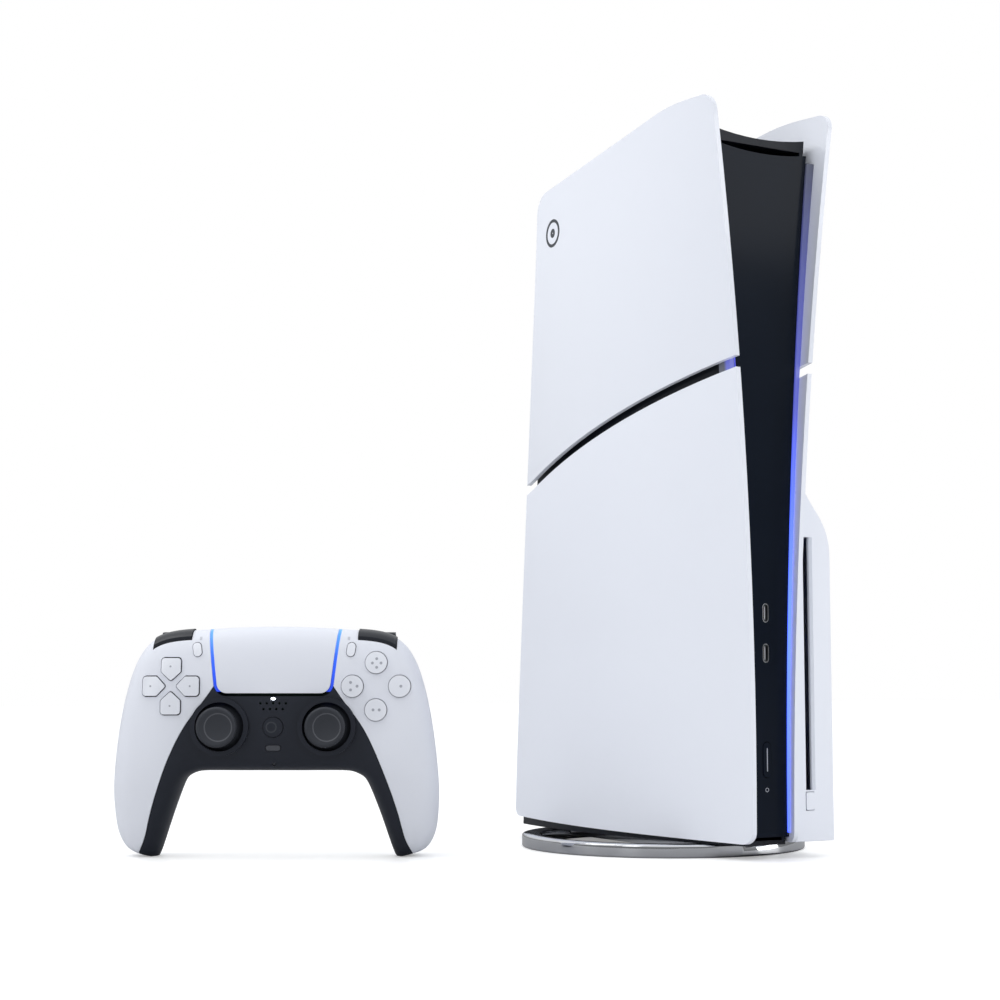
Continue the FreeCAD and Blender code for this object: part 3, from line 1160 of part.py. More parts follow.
def make_sticks():
    """Two thumb sticks: a fixed cup, a yoke that turns about X, a rocker that turns about Z, and the cap."""
    y0, z0, dome = -size("stick_depth"), size("stick_z"), size("stick_dome")
    cups = []
    for name, x0 in (("left", -size("stick_x")), ("right", size("stick_x"))):
        at = Vector(x0, y0, z0)
        forward = Vector(0, -1, 0)

        def drum(radius, near, far, centre=at):
            """A cylinder along the stick's axis between two distances in front of the pivot."""
            return Part.makeCylinder(radius, far - near, centre + forward * near, forward)

        floor = BOARD[0] - 0.15 - y0
        cup = drum(11.5, -floor, 2.0).cut(drum(10.1, -floor + 1.2, 3.0))
        pin_hole = Part.makeCylinder(1.35, 40, at - Vector(20, 0, 0), Vector(1, 0, 0))
        cups.append(cup.cut(pin_hole))
        ring = drum(9.4, -1.5, 1.5).cut(drum(7.2, -2, 2))
        pins = Part.makeCylinder(1.2, 22.0, at - Vector(11.0, 0, 0), Vector(1, 0, 0)).cut(drum(8.3, -3, 3))
        rocker_hole = Part.makeCylinder(1.15, 40, at - Vector(0, 0, 20), Vector(0, 0, 1))
        pad_node(solid(f"yoke_{name}", ring.fuse(pins).cut(rocker_hole)), f"stick_{name}_yoke")
        ball = Part.makeSphere(5.4, at)
        stem = drum(2.2, 0, dome + 3.0)
        pivot = Part.makeCylinder(1.0, 17.2, at - Vector(0, 0, 8.6), Vector(0, 0, 1))
        pad_node(solid(f"rocker_{name}", ball.fuse([stem, pivot])), f"stick_{name}_rocker")
        skirt = Part.makeSphere(dome, at).cut(Part.makeSphere(dome - 1.2, at)).common(drum(20, 4.3, 20))
        neck = drum(4.4, dome - 0.6, dome + 6.0)
        socket = drum(3.6, 8.0, dome)
        top = drum(size("stick_cap"), dome + 5.6, dome + 9.6)
        top = top.makeFillet(1.2, [e for e in top.Edges if e.Closed and e.Curve.TypeId == "Part::GeomCircle"])
        dish = Part.makeSphere(26.0, at + forward * (dome + 9.6 + 26.0 - 1.3))
        bore = drum(2.35, 7.0, dome + 3.8)
        cap = skirt.fuse([neck, socket, top]).cut([bore, dish])
        pad_node(solid(f"cap_{name}", cap), f"stick_{name}_cap")
    pad_node(solid("cup_shapes", Part.makeCompound(cups)), "stick_bases")


def make_shoulders():
    """Bumpers and triggers on both shoulders, and the frame that carries triggers and keys."""
    left, right, front, rear = BUMPER
    box = Part.makeBox(right - left, rear - front, 40, Vector(left, front, BUMPER_FOOT))
    bumper = in_layer(box, -0.8, 3.0)
    t_left, t_right = TRIGGER_SPAN
    profile = [
        (4.3, 110.2, 1.5), (12.0, 110.8, 6.0), (21.5, 107.5, 9.0), (29.5, 99.5, 1.2), (27.5, 97.6, 0.8),
        (21.0, 101.2, 6.0), (14.0, 102.6, 3.0), (10.6, 100.6, 1.0), (9.6, 95.2, 2.5), (4.6, 95.2, 1.5),
    ]
    points = [(Vector(t_left, y, z), r) for y, z, r in profile]
    trigger = prism(rounded(points), Vector(t_right - t_left, 0, 0))
    py, pz = TRIGGER_PIVOT
    pin = Part.makeCylinder(1.5, t_right - t_left + 3.6, Vector(t_left - 1.8, py, pz), Vector(1, 0, 0))
    trigger = trigger.fuse(pin)
    for name, form in (("left", lambda s: s), ("right", mirrored)):
        pad_node(solid(f"bumper_{name}_shape", form(bumper)), f"bumper_{name}")
        pad_node(solid(f"trigger_{name}_shape", form(trigger)), f"trigger_{name}")

    half = Part.makeBox(2 * WIDE, WIDE, WIDE, Vector(-WIDE, -WIDE, 0))
    zone = Part.makeBox(140, 60, 33.5, Vector(-70, -58, 67.5))
    shell = in_layer(zone, 6.8, 8.4)
    sticks = [round_prism(x, size("stick_z"), size("stick_dome") + 0.8, -60, 5) for x in (
        -size("stick_x"), size("stick_x"))]
    shell = shell.cut(sticks + [Part.makeBox(70, 60, 14.0, Vector(-35, -60, 67.0))])
    pieces = []
    for side in (-1, 1):
        start = 58.0 if side > 0 else -90.0
        rim_zone = Part.makeBox(32, 2.0, 28.0, Vector(start, -1.4, 68.0))
        pieces.append(in_layer(rim_zone, size("pad_wall") + 0.15, 8.8))
    for u in (t_left - 2.2, t_right + 0.4):
        lug = Part.makeBox(1.8, 17.1, 7.2, Vector(u, -7.6, 93.2)).common(pad_form(2.6))
        hole = Part.makeCylinder(1.65, 10, Vector(u - 3, py, pz), Vector(1, 0, 0))
        lug = lug.cut(hole)
        pieces += [lug, mirrored(lug)]
    kx, kz = size("keys_x"), size("keys_z")
    for x in (-40.0, 40.0):
        start = front_y(x, 90.0, 7.4)
        reach = BOARD[0] - size("seat_gap") - start
        pieces.append(Part.makeCylinder(2.2, reach, Vector(x, start, 90.0), Vector(0, 1, 0)))
    ball_y = front_y(-kx, kz, size("pad_wall") + 3.2) + 0.6
    post_start = Vector(-kx, ball_y + 0.4, kz)
    pieces.append(Part.makeCylinder(3.0, front_y(-kx, kz, 8.0) - post_start.y, post_start, Vector(0, 1, 0)))
    pocket = Part.makeSphere(BALL_RADIUS + 0.1, Vector(-kx, ball_y, kz))
    pad_node(solid("mid_frame_shape", shell.fuse(pieces).cut(pocket)), "mid_frame")


def make_pad_inside():
    """Circuit board, battery, motors, charging port, headset jack and closing screws."""
    y, thick = BOARD
    corners = [(46, 52, 3), (46, 92.6, 3), (34.6, 92.6, 1), (12, 106.5, 2)]
    corners += [(-x, z, r) for x, z, r in reversed(corners)]
    outline = front_prism(corners, y, y + thick)
    pad_node(solid("pad_board", outline.common(pad_form(2.6))), "circuit_board")
    battery = Part.makeBox(46.0, 6.4, 33.0, Vector(-23.0, y + thick + 0.15, 63.0))
    upright = [e for e in battery.Edges if abs(e.tangentAt(e.FirstParameter).z) > 0.9]
    battery = battery.makeFillet(1.6, upright)
    pad_node(solid("battery_shape", battery), "battery")
    pad_node(solid("motor_shapes", Part.makeCompound(motor_forms(0))), "haptic_motors")
    port = pill_upright(0, PORT_MIDDLE, 9.0, 3.3, 104.0, 112.2)
    room = pill_upright(0, PORT_MIDDLE, 8.4, 2.7, 105.0, 113.0)
    tongue = Part.makeBox(6.4, 0.7, 6.6, Vector(-3.2, PORT_MIDDLE - 0.35, 104.5))
    pad_node(solid("port_shape", port.cut(room).fuse(tongue)), "charge_port")
    z0 = 44.0
    length = size("jack_length")
    case = Part.makeBox(7.0, 6.6, length - 2.0, Vector(-3.5, JACK_MIDDLE - 3.3, z0 + 3.0))
    case = case.common(pad_form(size("pad_wall") + size("pad_seam")))
    collar = Part.makeCylinder(3.1, 4.0, Vector(0, JACK_MIDDLE, z0), Vector(0, 0, 1))
    bore = Part.makeCylinder(size("jack_radius"), length, Vector(0, JACK_MIDDLE, z0), Vector(0, 0, 1))
    pad_node(solid("jack_shape", case.fuse(collar).cut(bore)), "headset_jack")
    screws = []
    for x, z in screw_places():
        head_y = back_y(x, z) - 1.6
        head = Part.makeCylinder(2.3, 1.4, Vector(x, head_y + 0.05, z), Vector(0, 1, 0))
        shank = Part.makeCylinder(0.95, head_y + 7.0, Vector(x, -6.8, z), Vector(0, 1, 0))
        slots = [Part.makeBox(3.0, 1.0, 0.7, Vector(x - 1.5, head_y + 0.8, z - 0.35)),
                 Part.makeBox(0.7, 1.0, 3.0, Vector(x - 0.35, head_y + 0.8, z - 1.5))]
        screws.append(head.fuse(shank).cut(slots))
    pad_node(solid("pad_screw_shapes", Part.makeCompound(screws)), "shell_screws")


def write_parts():
    """Checks every object and writes one STEP file per sub-part."""
    doc.recompute()
    for thing in doc.Objects:
        if set(thing.State) & {"Invalid", "Error"}:
            raise RuntimeError(f"{thing.Name} failed: {thing.State}")
    os.makedirs("parts", exist_ok=True)
    for thing in NODES:
        shape = thing.Shape
        if shape.isNull() or not shape.isValid() or not shape.Solids:
            raise RuntimeError(f"{thing.Label} is not a valid solid")
        if any(s.Volume <= 0 for s in shape.Solids):
            raise RuntimeError(f"{thing.Label} holds a solid with no volume")
        shape.exportStep(f"parts/{thing.Label}.step")
        print(f"{thing.Label}: {len(shape.Solids)} solid(s), {shape.Volume / 1000:.2f} cm3")


if __name__ == "__main__":
    make_stand()
    make_core()
    make_panels()
    make_drive()
    make_cooling()
    make_electronics()
    make_rear()
    make_pad_shells()
    make_pad_keys()
    make_sticks()
    make_shoulders()
    make_pad_inside()
    write_parts()
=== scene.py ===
# %% [markdown]
# # A tall game console and its controller
# This lesson dresses a finished CAD model: a console with curved white side panels around a black core,
# standing on a chromed ring, and a two-handed controller standing beside it. The CAD gives every shape and
# every place. Blender adds the finishes, the light and the small repeated details.
# Everything is in metres, +Z is up, and the console's front looks along -Y.

import json
import math

import bmesh
import bpy
from mathutils import Matrix, Vector
from mathutils.bvhtree import BVHTree

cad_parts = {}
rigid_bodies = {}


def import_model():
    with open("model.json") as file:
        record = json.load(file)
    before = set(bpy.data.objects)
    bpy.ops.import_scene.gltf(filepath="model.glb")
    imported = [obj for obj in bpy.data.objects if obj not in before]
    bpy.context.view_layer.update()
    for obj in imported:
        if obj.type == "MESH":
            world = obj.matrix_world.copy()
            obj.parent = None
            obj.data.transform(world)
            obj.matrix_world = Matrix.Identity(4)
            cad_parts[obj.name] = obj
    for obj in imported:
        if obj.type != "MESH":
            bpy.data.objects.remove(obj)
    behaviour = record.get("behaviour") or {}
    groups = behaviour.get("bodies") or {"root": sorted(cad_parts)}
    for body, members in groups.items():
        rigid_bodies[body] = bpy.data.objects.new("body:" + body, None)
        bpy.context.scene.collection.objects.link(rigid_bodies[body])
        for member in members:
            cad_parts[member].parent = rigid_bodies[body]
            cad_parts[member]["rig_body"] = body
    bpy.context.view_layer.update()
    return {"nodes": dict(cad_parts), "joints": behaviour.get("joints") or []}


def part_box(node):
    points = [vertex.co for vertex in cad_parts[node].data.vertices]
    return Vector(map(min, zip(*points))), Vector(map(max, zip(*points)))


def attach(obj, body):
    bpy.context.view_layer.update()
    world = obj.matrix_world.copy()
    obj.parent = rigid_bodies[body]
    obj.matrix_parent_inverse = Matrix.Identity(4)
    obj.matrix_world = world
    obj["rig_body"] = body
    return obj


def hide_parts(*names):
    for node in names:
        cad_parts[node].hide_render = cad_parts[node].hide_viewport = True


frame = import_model()
nodes = frame["nodes"]
joints = {j["name"]: j for j in frame["joints"]}
MM = 0.001

# %% [markdown]
# ## The camera
# A tall thing is best looked at from low down and far away through a long lens, so that its uprights stay
# nearly parallel. The camera stands a hand's height above the table and tips up by a few degrees.

# %% Camera
CAMERA_PLACE = Vector((-0.5595, -0.8393, 0.0851))
CAMERA_HEADING = 0.503  # radians to the right of +Y
CAMERA_PITCH = 0.097  # radians upwards
CAMERA_LENS = 67.81  # millimetres, for a sensor 36 mm wide
camera_data = bpy.data.cameras.new("studio_camera")
camera_data.sensor_width = 36.0
camera_data.lens = CAMERA_LENS
camera_data.clip_start = 0.01
camera = bpy.data.objects.new("studio_camera", camera_data)
bpy.context.scene.collection.objects.link(camera)
turn = Matrix.Rotation(-CAMERA_HEADING, 4, "Z") @ Matrix.Rotation(math.pi / 2 + CAMERA_PITCH, 4, "X")
camera.matrix_world = Matrix.Translation(CAMERA_PLACE) @ turn
bpy.context.scene.camera = camera
print("camera lens", CAMERA_LENS)

# %% [markdown]
# ## Building finishes from nodes
# A finish is a small tree of nodes: one Principled shader, and noise that drives its roughness and a very
# fine bump. Values that are the same all over the surface are typed straight into the shader's own sockets.
# The helper below makes such a tree, so that each finish later is only a short list of numbers.

# %% A helper for finishes
CLOUD_SCALE = 22.0  # the slow drift repeats about this often in a metre
SMOOTHEST = 0.02  # no real surface is smoother than this roughness
GRAIN_DEPTH = 0.00005


def link(tree, source, target):
    tree.links.new(source, target)


def finish(name, colour, rough, grain=0.0, grain_size=0.0004, drift=0.04, tint=0.03, **shader_values):
    """A procedural finish: colour and roughness drift slowly, and a fine grain lifts the surface."""
    material = bpy.data.materials.new(name)
    material.use_nodes = True
    tree = material.node_tree
    shader = tree.nodes["Principled BSDF"]
    place = tree.nodes.new("ShaderNodeTexCoord")
    cloud = tree.nodes.new("ShaderNodeTexNoise")
    cloud.inputs["Scale"].default_value = CLOUD_SCALE
    cloud.inputs["Detail"].default_value = 4.0
    link(tree, place.outputs["Object"], cloud.inputs["Vector"])
    shade = tree.nodes.new("ShaderNodeValToRGB")
    low = [c * (1 - tint) for c in colour]
    high = [min(1.0, c * (1 + tint)) for c in colour]
    shade.color_ramp.elements[0].color = (*low, 1)
    shade.color_ramp.elements[1].color = (*high, 1)
    link(tree, cloud.outputs["Fac"], shade.inputs["Fac"])
    link(tree, shade.outputs["Color"], shader.inputs["Base Color"])
    smear = tree.nodes.new("ShaderNodeMapRange")
    smear.inputs["To Min"].default_value = max(SMOOTHEST, rough - drift)
    smear.inputs["To Max"].default_value = rough + drift
    link(tree, cloud.outputs["Fac"], smear.inputs["Value"])
    link(tree, smear.outputs["Result"], shader.inputs["Roughness"])
    if grain:
        specks = tree.nodes.new("ShaderNodeTexNoise")
        specks.inputs["Scale"].default_value = 1 / grain_size
        specks.inputs["Detail"].default_value = 2.0
        link(tree, place.outputs["Object"], specks.inputs["Vector"])
        bump = tree.nodes.new("ShaderNodeBump")
        bump.inputs["Strength"].default_value = grain
        bump.inputs["Distance"].default_value = GRAIN_DEPTH
        link(tree, specks.outputs["Fac"], bump.inputs["Height"])
        link(tree, bump.outputs["Normal"], shader.inputs["Normal"])
    for socket, value in shader_values.items():
        shader.inputs[socket.replace("_", " ")].default_value = value
    return material


print("grain depth", GRAIN_DEPTH)

# %% [markdown]
# ## White plastics
# The lower panels and the controller's shells are moulded with a fine satin grain. The upper panels are the
# same white with a clear, polished surface, so they mirror the lamps softly. The keys are clear plastic over
# white, which is why they take a clear coat. A white that leans a little to blue looks clean and cold, as
# white plastic does under daylight lamps.

# %% White finishes
WHITE = (0.74, 0.765, 0.835)  # white with a little blue in it
satin_white = finish("satin_white", WHITE, 0.42, grain=0.18, grain_size=0.0005, tint=0.008,
                     Specular_IOR_Level=0.45)
polished_white = finish("polished_white", WHITE, 0.14, tint=0.006, drift=0.02,
                        Coat_Weight=0.5, Coat_Roughness=0.04)
pad_white = finish("pad_white", (0.68, 0.70, 0.765), 0.46, grain=0.35, grain_size=0.00045, tint=0.008,
                   Specular_IOR_Level=0.4)
back_white = finish("back_white", (0.66, 0.68, 0.735), 0.5, grain=0.6, grain_size=0.0006, tint=0.01)
key_clear = finish("key_clear", (0.70, 0.72, 0.78), 0.22, tint=0.01, Coat_Weight=0.6, Coat_Roughness=0.06)
print("white finishes", 5)

# %% [markdown]
# ## Dark plastics and rubber
# The core's front strip is a mirror-black plastic, the casing behind it is a plain satin black. The
# controller's trim is a shade lighter, and the thumb sticks are moulded in rubber, which is duller and has
# a coarser grain. Each stick's cap carries a paler ring on its top, and the mute key is a dark grey of its
# own.

# %% Dark finishes
mirror_black = finish("mirror_black", (0.0045, 0.0075, 0.0140), 0.13, tint=0.15, drift=0.03,
                      Specular_IOR_Level=0.12)
casing_black = finish("casing_black", (0.007, 0.009, 0.015), 0.36, grain=0.3, grain_size=0.0006, tint=0.15,
                      Specular_IOR_Level=0.3)
trim_black = finish("trim_black", (0.014, 0.017, 0.026), 0.42, grain=0.3, grain_size=0.0004, tint=0.1,
                    Specular_IOR_Level=0.28)
shoulder_black = finish("shoulder_black", (0.012, 0.014, 0.020), 0.34, grain=0.2, tint=0.1,
                        Specular_IOR_Level=0.3)
stick_rubber = finish("stick_rubber", (0.026, 0.029, 0.037), 0.55, grain=0.8, grain_size=0.0007, tint=0.15,
                      Specular_IOR_Level=0.3)
# A paler rubber colour for a ring on each stick cap's top.
stick_paler_rubber = finish("stick_paler_rubber", (0.060, 0.064, 0.076), 0.45, grain=0.5, grain_size=0.0007, tint=0.15)
mute_grey = finish("mute_grey", (0.050, 0.054, 0.066), 0.4, grain=0.3, grain_size=0.0004, tint=0.1)
roller_rubber = finish("roller_rubber", (0.02, 0.02, 0.022), 0.7, grain=0.8, grain_size=0.0008, tint=0.2)
emblem_grey = finish("emblem_grey", (0.035, 0.04, 0.05), 0.3, tint=0.1)
icon_grey = finish("icon_grey", (0.33, 0.345, 0.39), 0.4, tint=0.05)
print("dark finishes", 10)

# %% [markdown]
# ## Metals and boards
# The ring is polished chrome: a metallic shader with almost no roughness. Stamped sheet steel, milled
# aluminium and the green solder mask of a circuit board are mostly hidden, but show through the grille.

# %% Metal finishes
chrome = finish("chrome", (0.62, 0.63, 0.65), 0.05, tint=0.01, drift=0.02, Metallic=1.0)
sheet_steel = finish("sheet_steel", (0.52, 0.53, 0.55), 0.32, grain=0.3, tint=0.06, Metallic=1.0)
zinc_black = finish("zinc_black", (0.09, 0.09, 0.10), 0.35, grain=0.4, tint=0.1, Metallic=1.0)
aluminium = finish("aluminium", (0.74, 0.75, 0.77), 0.28, grain=0.3, tint=0.04, Metallic=1.0)
solder_mask = finish("solder_mask", (0.012, 0.075, 0.045), 0.3, grain=0.2, tint=0.2)
battery_film = finish("battery_film", (0.06, 0.065, 0.08), 0.4, grain=0.3, tint=0.1)
gilt = finish("gilt", (0.75, 0.55, 0.22), 0.25, tint=0.05, Metallic=1.0)
print("metal finishes", 7)


# %% [markdown]
# ## Light
# Two light guides run up the seams between the white panels and the core, and two shorter ones frame the
# controller's touchpad. A guide is a clear strip lit from one end, so its blue is strongest there and fades
# along its length. The fade reads the height in Object coordinates, which are the model's own. A console's
# guide reaches back under the panels, but only the part ahead of the strip's face lights up, or blue would
# leak into the disc slot. The faint blue gleam on the strip's left edge is painted light: a thin glowing line
# stands in for the guide's light on the black plastic. A white lamp shows that the controller is awake.

# %% Lit finishes
GLOW_FROM = -0.0905  # how far forward the console's guides begin to glow
GLOW_BLEND = 0.002
MILK_SCALE = 60.0
MILK_ROUGHNESS = (0.26, 0.36)


def lit(name, stops, low, high, strength, body=(0.13, 0.14, 0.18), face=None):
    """A strip that glows in the colours of its stops between two heights, and only ahead of the face."""
    material = bpy.data.materials.new(name)
    material.use_nodes = True
    tree = material.node_tree
    shader = tree.nodes["Principled BSDF"]
    shader.inputs["Emission Strength"].default_value = strength
    place = tree.nodes.new("ShaderNodeTexCoord")
    split = tree.nodes.new("ShaderNodeSeparateXYZ")
    span = tree.nodes.new("ShaderNodeMapRange")
    span.inputs["From Min"].default_value = low
    span.inputs["From Max"].default_value = high
    ramp = tree.nodes.new("ShaderNodeValToRGB")
    while len(ramp.color_ramp.elements) < len(stops):
        ramp.color_ramp.elements.new(0.5)
    for element, (at, colour) in zip(ramp.color_ramp.elements, stops):
        element.position = at
        element.color = (*colour, 1)
    link(tree, place.outputs["Object"], split.inputs["Vector"])
    link(tree, split.outputs["Z"], span.inputs["Value"])
    link(tree, span.outputs["Result"], ramp.inputs["Fac"])
    link(tree, ramp.outputs["Color"], shader.inputs["Emission Color"])
    mist = tree.nodes.new("ShaderNodeTexNoise")
    mist.inputs["Scale"].default_value = MILK_SCALE
    link(tree, place.outputs["Object"], mist.inputs["Vector"])
    milk = tree.nodes.new("ShaderNodeMapRange")
    milk.inputs["To Min"].default_value, milk.inputs["To Max"].default_value = MILK_ROUGHNESS
    link(tree, mist.outputs["Fac"], milk.inputs["Value"])
    link(tree, milk.outputs["Result"], shader.inputs["Roughness"])
    shader.inputs["Base Color"].default_value = (*body, 1)
    if face is not None:
        ahead = tree.nodes.new("ShaderNodeMapRange")
        ahead.inputs["From Min"].default_value = face
        ahead.inputs["From Max"].default_value = face - GLOW_BLEND
        link(tree, split.outputs["Y"], ahead.inputs["Value"])
        dim = tree.nodes.new("ShaderNodeVectorMath")
        dim.operation = "SCALE"
        link(tree, ramp.outputs["Color"], dim.inputs[0])
        link(tree, ahead.outputs["Result"], dim.inputs["Scale"])
        link(tree, dim.outputs["Vector"], shader.inputs["Emission Color"])
    return material


guide_low, guide_high = (v[2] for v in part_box("light_guides"))
seam_light = lit(
    "seam_light",
    [(0.0, (0.05, 0.10, 1.0)), (0.30, (0.06, 0.13, 1.0)), (0.62, (0.02, 0.025, 0.20)),
     (1.0, (0.0, 0.0, 0.004))],
    guide_low, guide_high, 2.6, face=GLOW_FROM,
)
bar_low, bar_high = (v[2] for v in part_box("light_bars"))
touch_light = lit(
    "touch_light", [(0.0, (0.0, 0.02, 0.5)), (0.55, (0.01, 0.09, 0.8)), (1.0, (0.08, 0.34, 1.0))],
    bar_low, bar_high, 1.2, body=(0.02, 0.05, 0.2),
)
# A painted gleam: the guide's blue light on the strip's black left edge is drawn as a glowing line, bluest at
# its foot.
EDGE_LOW, EDGE_HIGH = 0.235, 0.335
painted_edge_gleam = lit(
    "painted_edge_gleam", [(0.0, (0.03, 0.05, 0.75)), (0.5, (0.10, 0.11, 0.55)), (1.0, (0.10, 0.10, 0.22))],
    EDGE_LOW, EDGE_HIGH, 1.0, body=(0.05, 0.05, 0.1),
)
status_light = lit("status_light", [(0.0, (0.8, 0.85, 1.0)), (1.0, (0.9, 0.95, 1.0))], 0.0, 0.1, 6.0)
print("guides from", round(guide_low, 4), "to", round(guide_high, 4))

# %% [markdown]
# ## Smooth skins over the CAD
# A CAD model arrives as loose triangles, which shade like cut facets. Each visible piece is copied, its
# doubled points are merged, and edges that turn by less than a set angle are shaded smooth, so curved walls
# look curved while real corners stay crisp. The copy stands in for the CAD piece and moves with its body.

# %% Skin the CAD pieces
CREASE = math.radians(28)
DOUBLED = 2e-6  # points nearer to each other than this are one point


def body_holding(node_name):
    return nodes[node_name]["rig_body"]


def keep(piece, body, material):
    """Links a piece, gives it its finish and lets it ride on a body."""
    if piece.name not in bpy.context.scene.collection.objects:
        bpy.context.scene.collection.objects.link(piece)
    piece.data.materials.clear()
    piece.data.materials.append(material)
    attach(piece, body)
    return piece


def skin(node_name, material):
    """A merged, smooth-shaded copy of a CAD node."""
    mesh = nodes[node_name].data.copy()
    work = bmesh.new()
    work.from_mesh(mesh)
    bmesh.ops.remove_doubles(work, verts=work.verts, dist=DOUBLED)
    for face in work.faces:
        face.smooth = True
    for edge in work.edges:
        edge.smooth = len(edge.link_faces) == 2 and edge.calc_face_angle(0.0) < CREASE
    work.to_mesh(mesh)
    work.free()
    if mesh.has_custom_normals:
        mesh.attributes.remove(mesh.attributes["custom_normal"])
    piece = bpy.data.objects.new("skin_" + node_name, mesh)
    keep(piece, body_holding(node_name), material)
    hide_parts(node_name)


SKINS = {
    polished_white: ["panel_left_upper", "panel_right_upper"],
    satin_white: ["panel_left_lower", "drive_cover", "eject_button"],
    pad_white: ["shell_front", "touchpad"],
    back_white: ["shell_back"],
    key_clear: ["dpad", "key_north", "key_east", "key_south", "key_west", "key_create", "key_options"],
    mirror_black: ["front_strip", "power_button"],
    casing_black: ["casing_left", "casing_right", "rear_plate", "power_inlet", "drive_tray"],
    trim_black: ["trim_plate", "key_home", "headset_jack"],
    mute_grey: ["key_mute"],
    shoulder_black: ["bumper_left", "bumper_right", "trigger_left", "trigger_right"],
    stick_rubber: ["stick_left_cap", "stick_right_cap"],
    chrome: ["stand_ring", "stand_bridge"],
    seam_light: ["light_guides"],
    touch_light: ["light_bars"],
    sheet_steel: ["front_ports", "rear_sockets", "charge_port"],
    zinc_black: ["stand_screw", "rear_screws", "shell_screws"],
}
for skin_finish, names in SKINS.items():
    for node_name in names:
        skin(node_name, skin_finish)
print("skinned", sum(len(names) for names in SKINS.values()), "pieces")

# %% [markdown]
# ## What lies inside
# Boards, motors, the heat sink and the disc drive sit behind the casing, and only glints of them show through
# the grille. They keep the CAD's own triangles and just get a finish each: green lacquer on the boards, film
# round the battery, bare metal on the rest, and black plastic wherever nothing else is named.

# %% Finish the hidden pieces
HIDDEN = {
    sheet_steel: ["drive_lid", "haptic_motors"],
    roller_rubber: ["drive_roller"],
    aluminium: ["heat_sink"],
    solder_mask: ["main_board", "circuit_board"],
    battery_film: ["battery"],
}
hidden_finish = {node_name: material for material, names in HIDDEN.items() for node_name in names}
skinned = {node_name for names in SKINS.values() for node_name in names}
for node_name, node in nodes.items():
    if node_name not in skinned:
        node.data.materials.clear()
        node.data.materials.append(hidden_finish.get(node_name, casing_black))
print("finished inside", len(nodes) - len(skinned), "pieces")

# %% [markdown]
# ## Where things are on the controller
# The controller stands turned a little towards the camera, so a small frame of its own saves a lot of
# trigonometry: the direction in which its keys are pressed gives its facing, and the two thumb sticks give
# its middle. A point is then found by shooting a ray at the surface and asking where it lands.

# %% The controller's own frame
inward = Vector(joints["key_home_press"]["axis"]).normalized()
sideways = inward.cross(Vector((0, 0, 1))).normalized()
left_pivot = Vector(joints["stick_left_tilt_x"]["pos_m"])
right_pivot = Vector(joints["stick_right_tilt_x"]["pos_m"])
pad_middle = (left_pivot + right_pivot) / 2
pad_middle.z = 0.0
RAY_START = 0.3  # metres ahead of the surface, well clear of the object
TREES = {}


def surface(node_name, start, direction):
    """Where a ray lands on a node."""
    if node_name not in TREES:
        mesh = nodes[node_name].data
        corners = [v.co.copy() for v in mesh.vertices]
        TREES[node_name] = BVHTree.FromPolygons(corners, [tuple(p.vertices) for p in mesh.polygons])
    place = TREES[node_name].ray_cast(start, direction)[0]
    if place is None:
        raise ValueError(f"no surface of {node_name} under {tuple(start)}")
    return place


def press(piece, node_name, centre, across, up, inwards):
    """Lays a flat shape on a curved surface: its x and y run along the surface, its z stands off it."""
    for vertex in piece.data.vertices:
        x, y, z = vertex.co
        start = centre + across * x + up * y - inwards * RAY_START
        vertex.co = surface(node_name, start, inwards) - inwards * z
    piece.data.update()
    return piece


def press_on_pad(piece, node_name, side, height, material):
    """Presses a shape on the controller's front at a place given from its middle and above the table."""
    centre = pad_middle + sideways * side + Vector((0, 0, height))
    press(piece, node_name, centre, sideways, Vector((0, 0, 1)), inward)
    return keep(piece, body_holding(node_name), material)


def middle_of(node_name):
    """Sideways place and height of a controller node's middle."""
    low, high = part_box(node_name)
    centre = (Vector(low) + Vector(high)) / 2
    return (centre - pad_middle).dot(sideways), centre.z


print("controller faces", tuple(round(c, 3) for c in -inward))

# %% [markdown]
# ## Geometry Nodes for what repeats
# Rows of identical ribs, dots and knurls are the natural work of Geometry Nodes: a line or a circle of
# points, one small shape instanced on each, then Realize Instances so that real faces are left. The tree
# has named inputs, and a short helper evaluates it once and keeps the plain mesh.

# %% Node tree helpers
def new_tree(name, inputs):
    """A geometry tree with a mesh output and named inputs."""
    tree = bpy.data.node_groups.new(name, "GeometryNodeTree")
    tree.interface.new_socket("Geometry", in_out="OUTPUT", socket_type="NodeSocketGeometry")
    for label, kind in inputs:
        tree.interface.new_socket(label, in_out="INPUT", socket_type="NodeSocket" + kind)
    return tree, tree.nodes.new("NodeGroupInput"), tree.nodes.new("NodeGroupOutput")


def bake(tree, name, **values):
    """Evaluates a tree with the given inputs and returns a plain object."""
    host = bpy.data.objects.new(name + "_host", bpy.data.meshes.new(name + "_host"))
    bpy.context.scene.collection.objects.link(host)
    modifier = host.modifiers.new("tree", "NODES")
    modifier.node_group = tree
    wanted = {key.replace("_", " "): value for key, value in values.items()}
    for item in tree.interface.items_tree:
        if item.item_type == "SOCKET" and item.in_out == "INPUT":
            modifier[item.identifier] = wanted[item.name]
    evaluated = host.evaluated_get(bpy.context.evaluated_depsgraph_get())
    mesh = bpy.data.meshes.new_from_object(evaluated)
    mesh.name = name
    bpy.data.objects.remove(host)
    return bpy.data.objects.new(name, mesh)


def lay(piece, place, across, up, out):
    """Puts a piece made around the origin where it belongs, with its place in its mesh."""
    turned = Matrix((across, up, out)).transposed().to_4x4()
    piece.data.transform(Matrix.Translation(place) @ turned)
    return piece


print("tree helpers", new_tree.__name__, bake.__name__, lay.__name__)

# %% [markdown]
# ## Three trees from one pattern
# Every tree here works the same way: points are laid out, one small shape is set on each point, the copies
# are made real and painted. Only the points and the shape differ, so one helper wires up the common part.

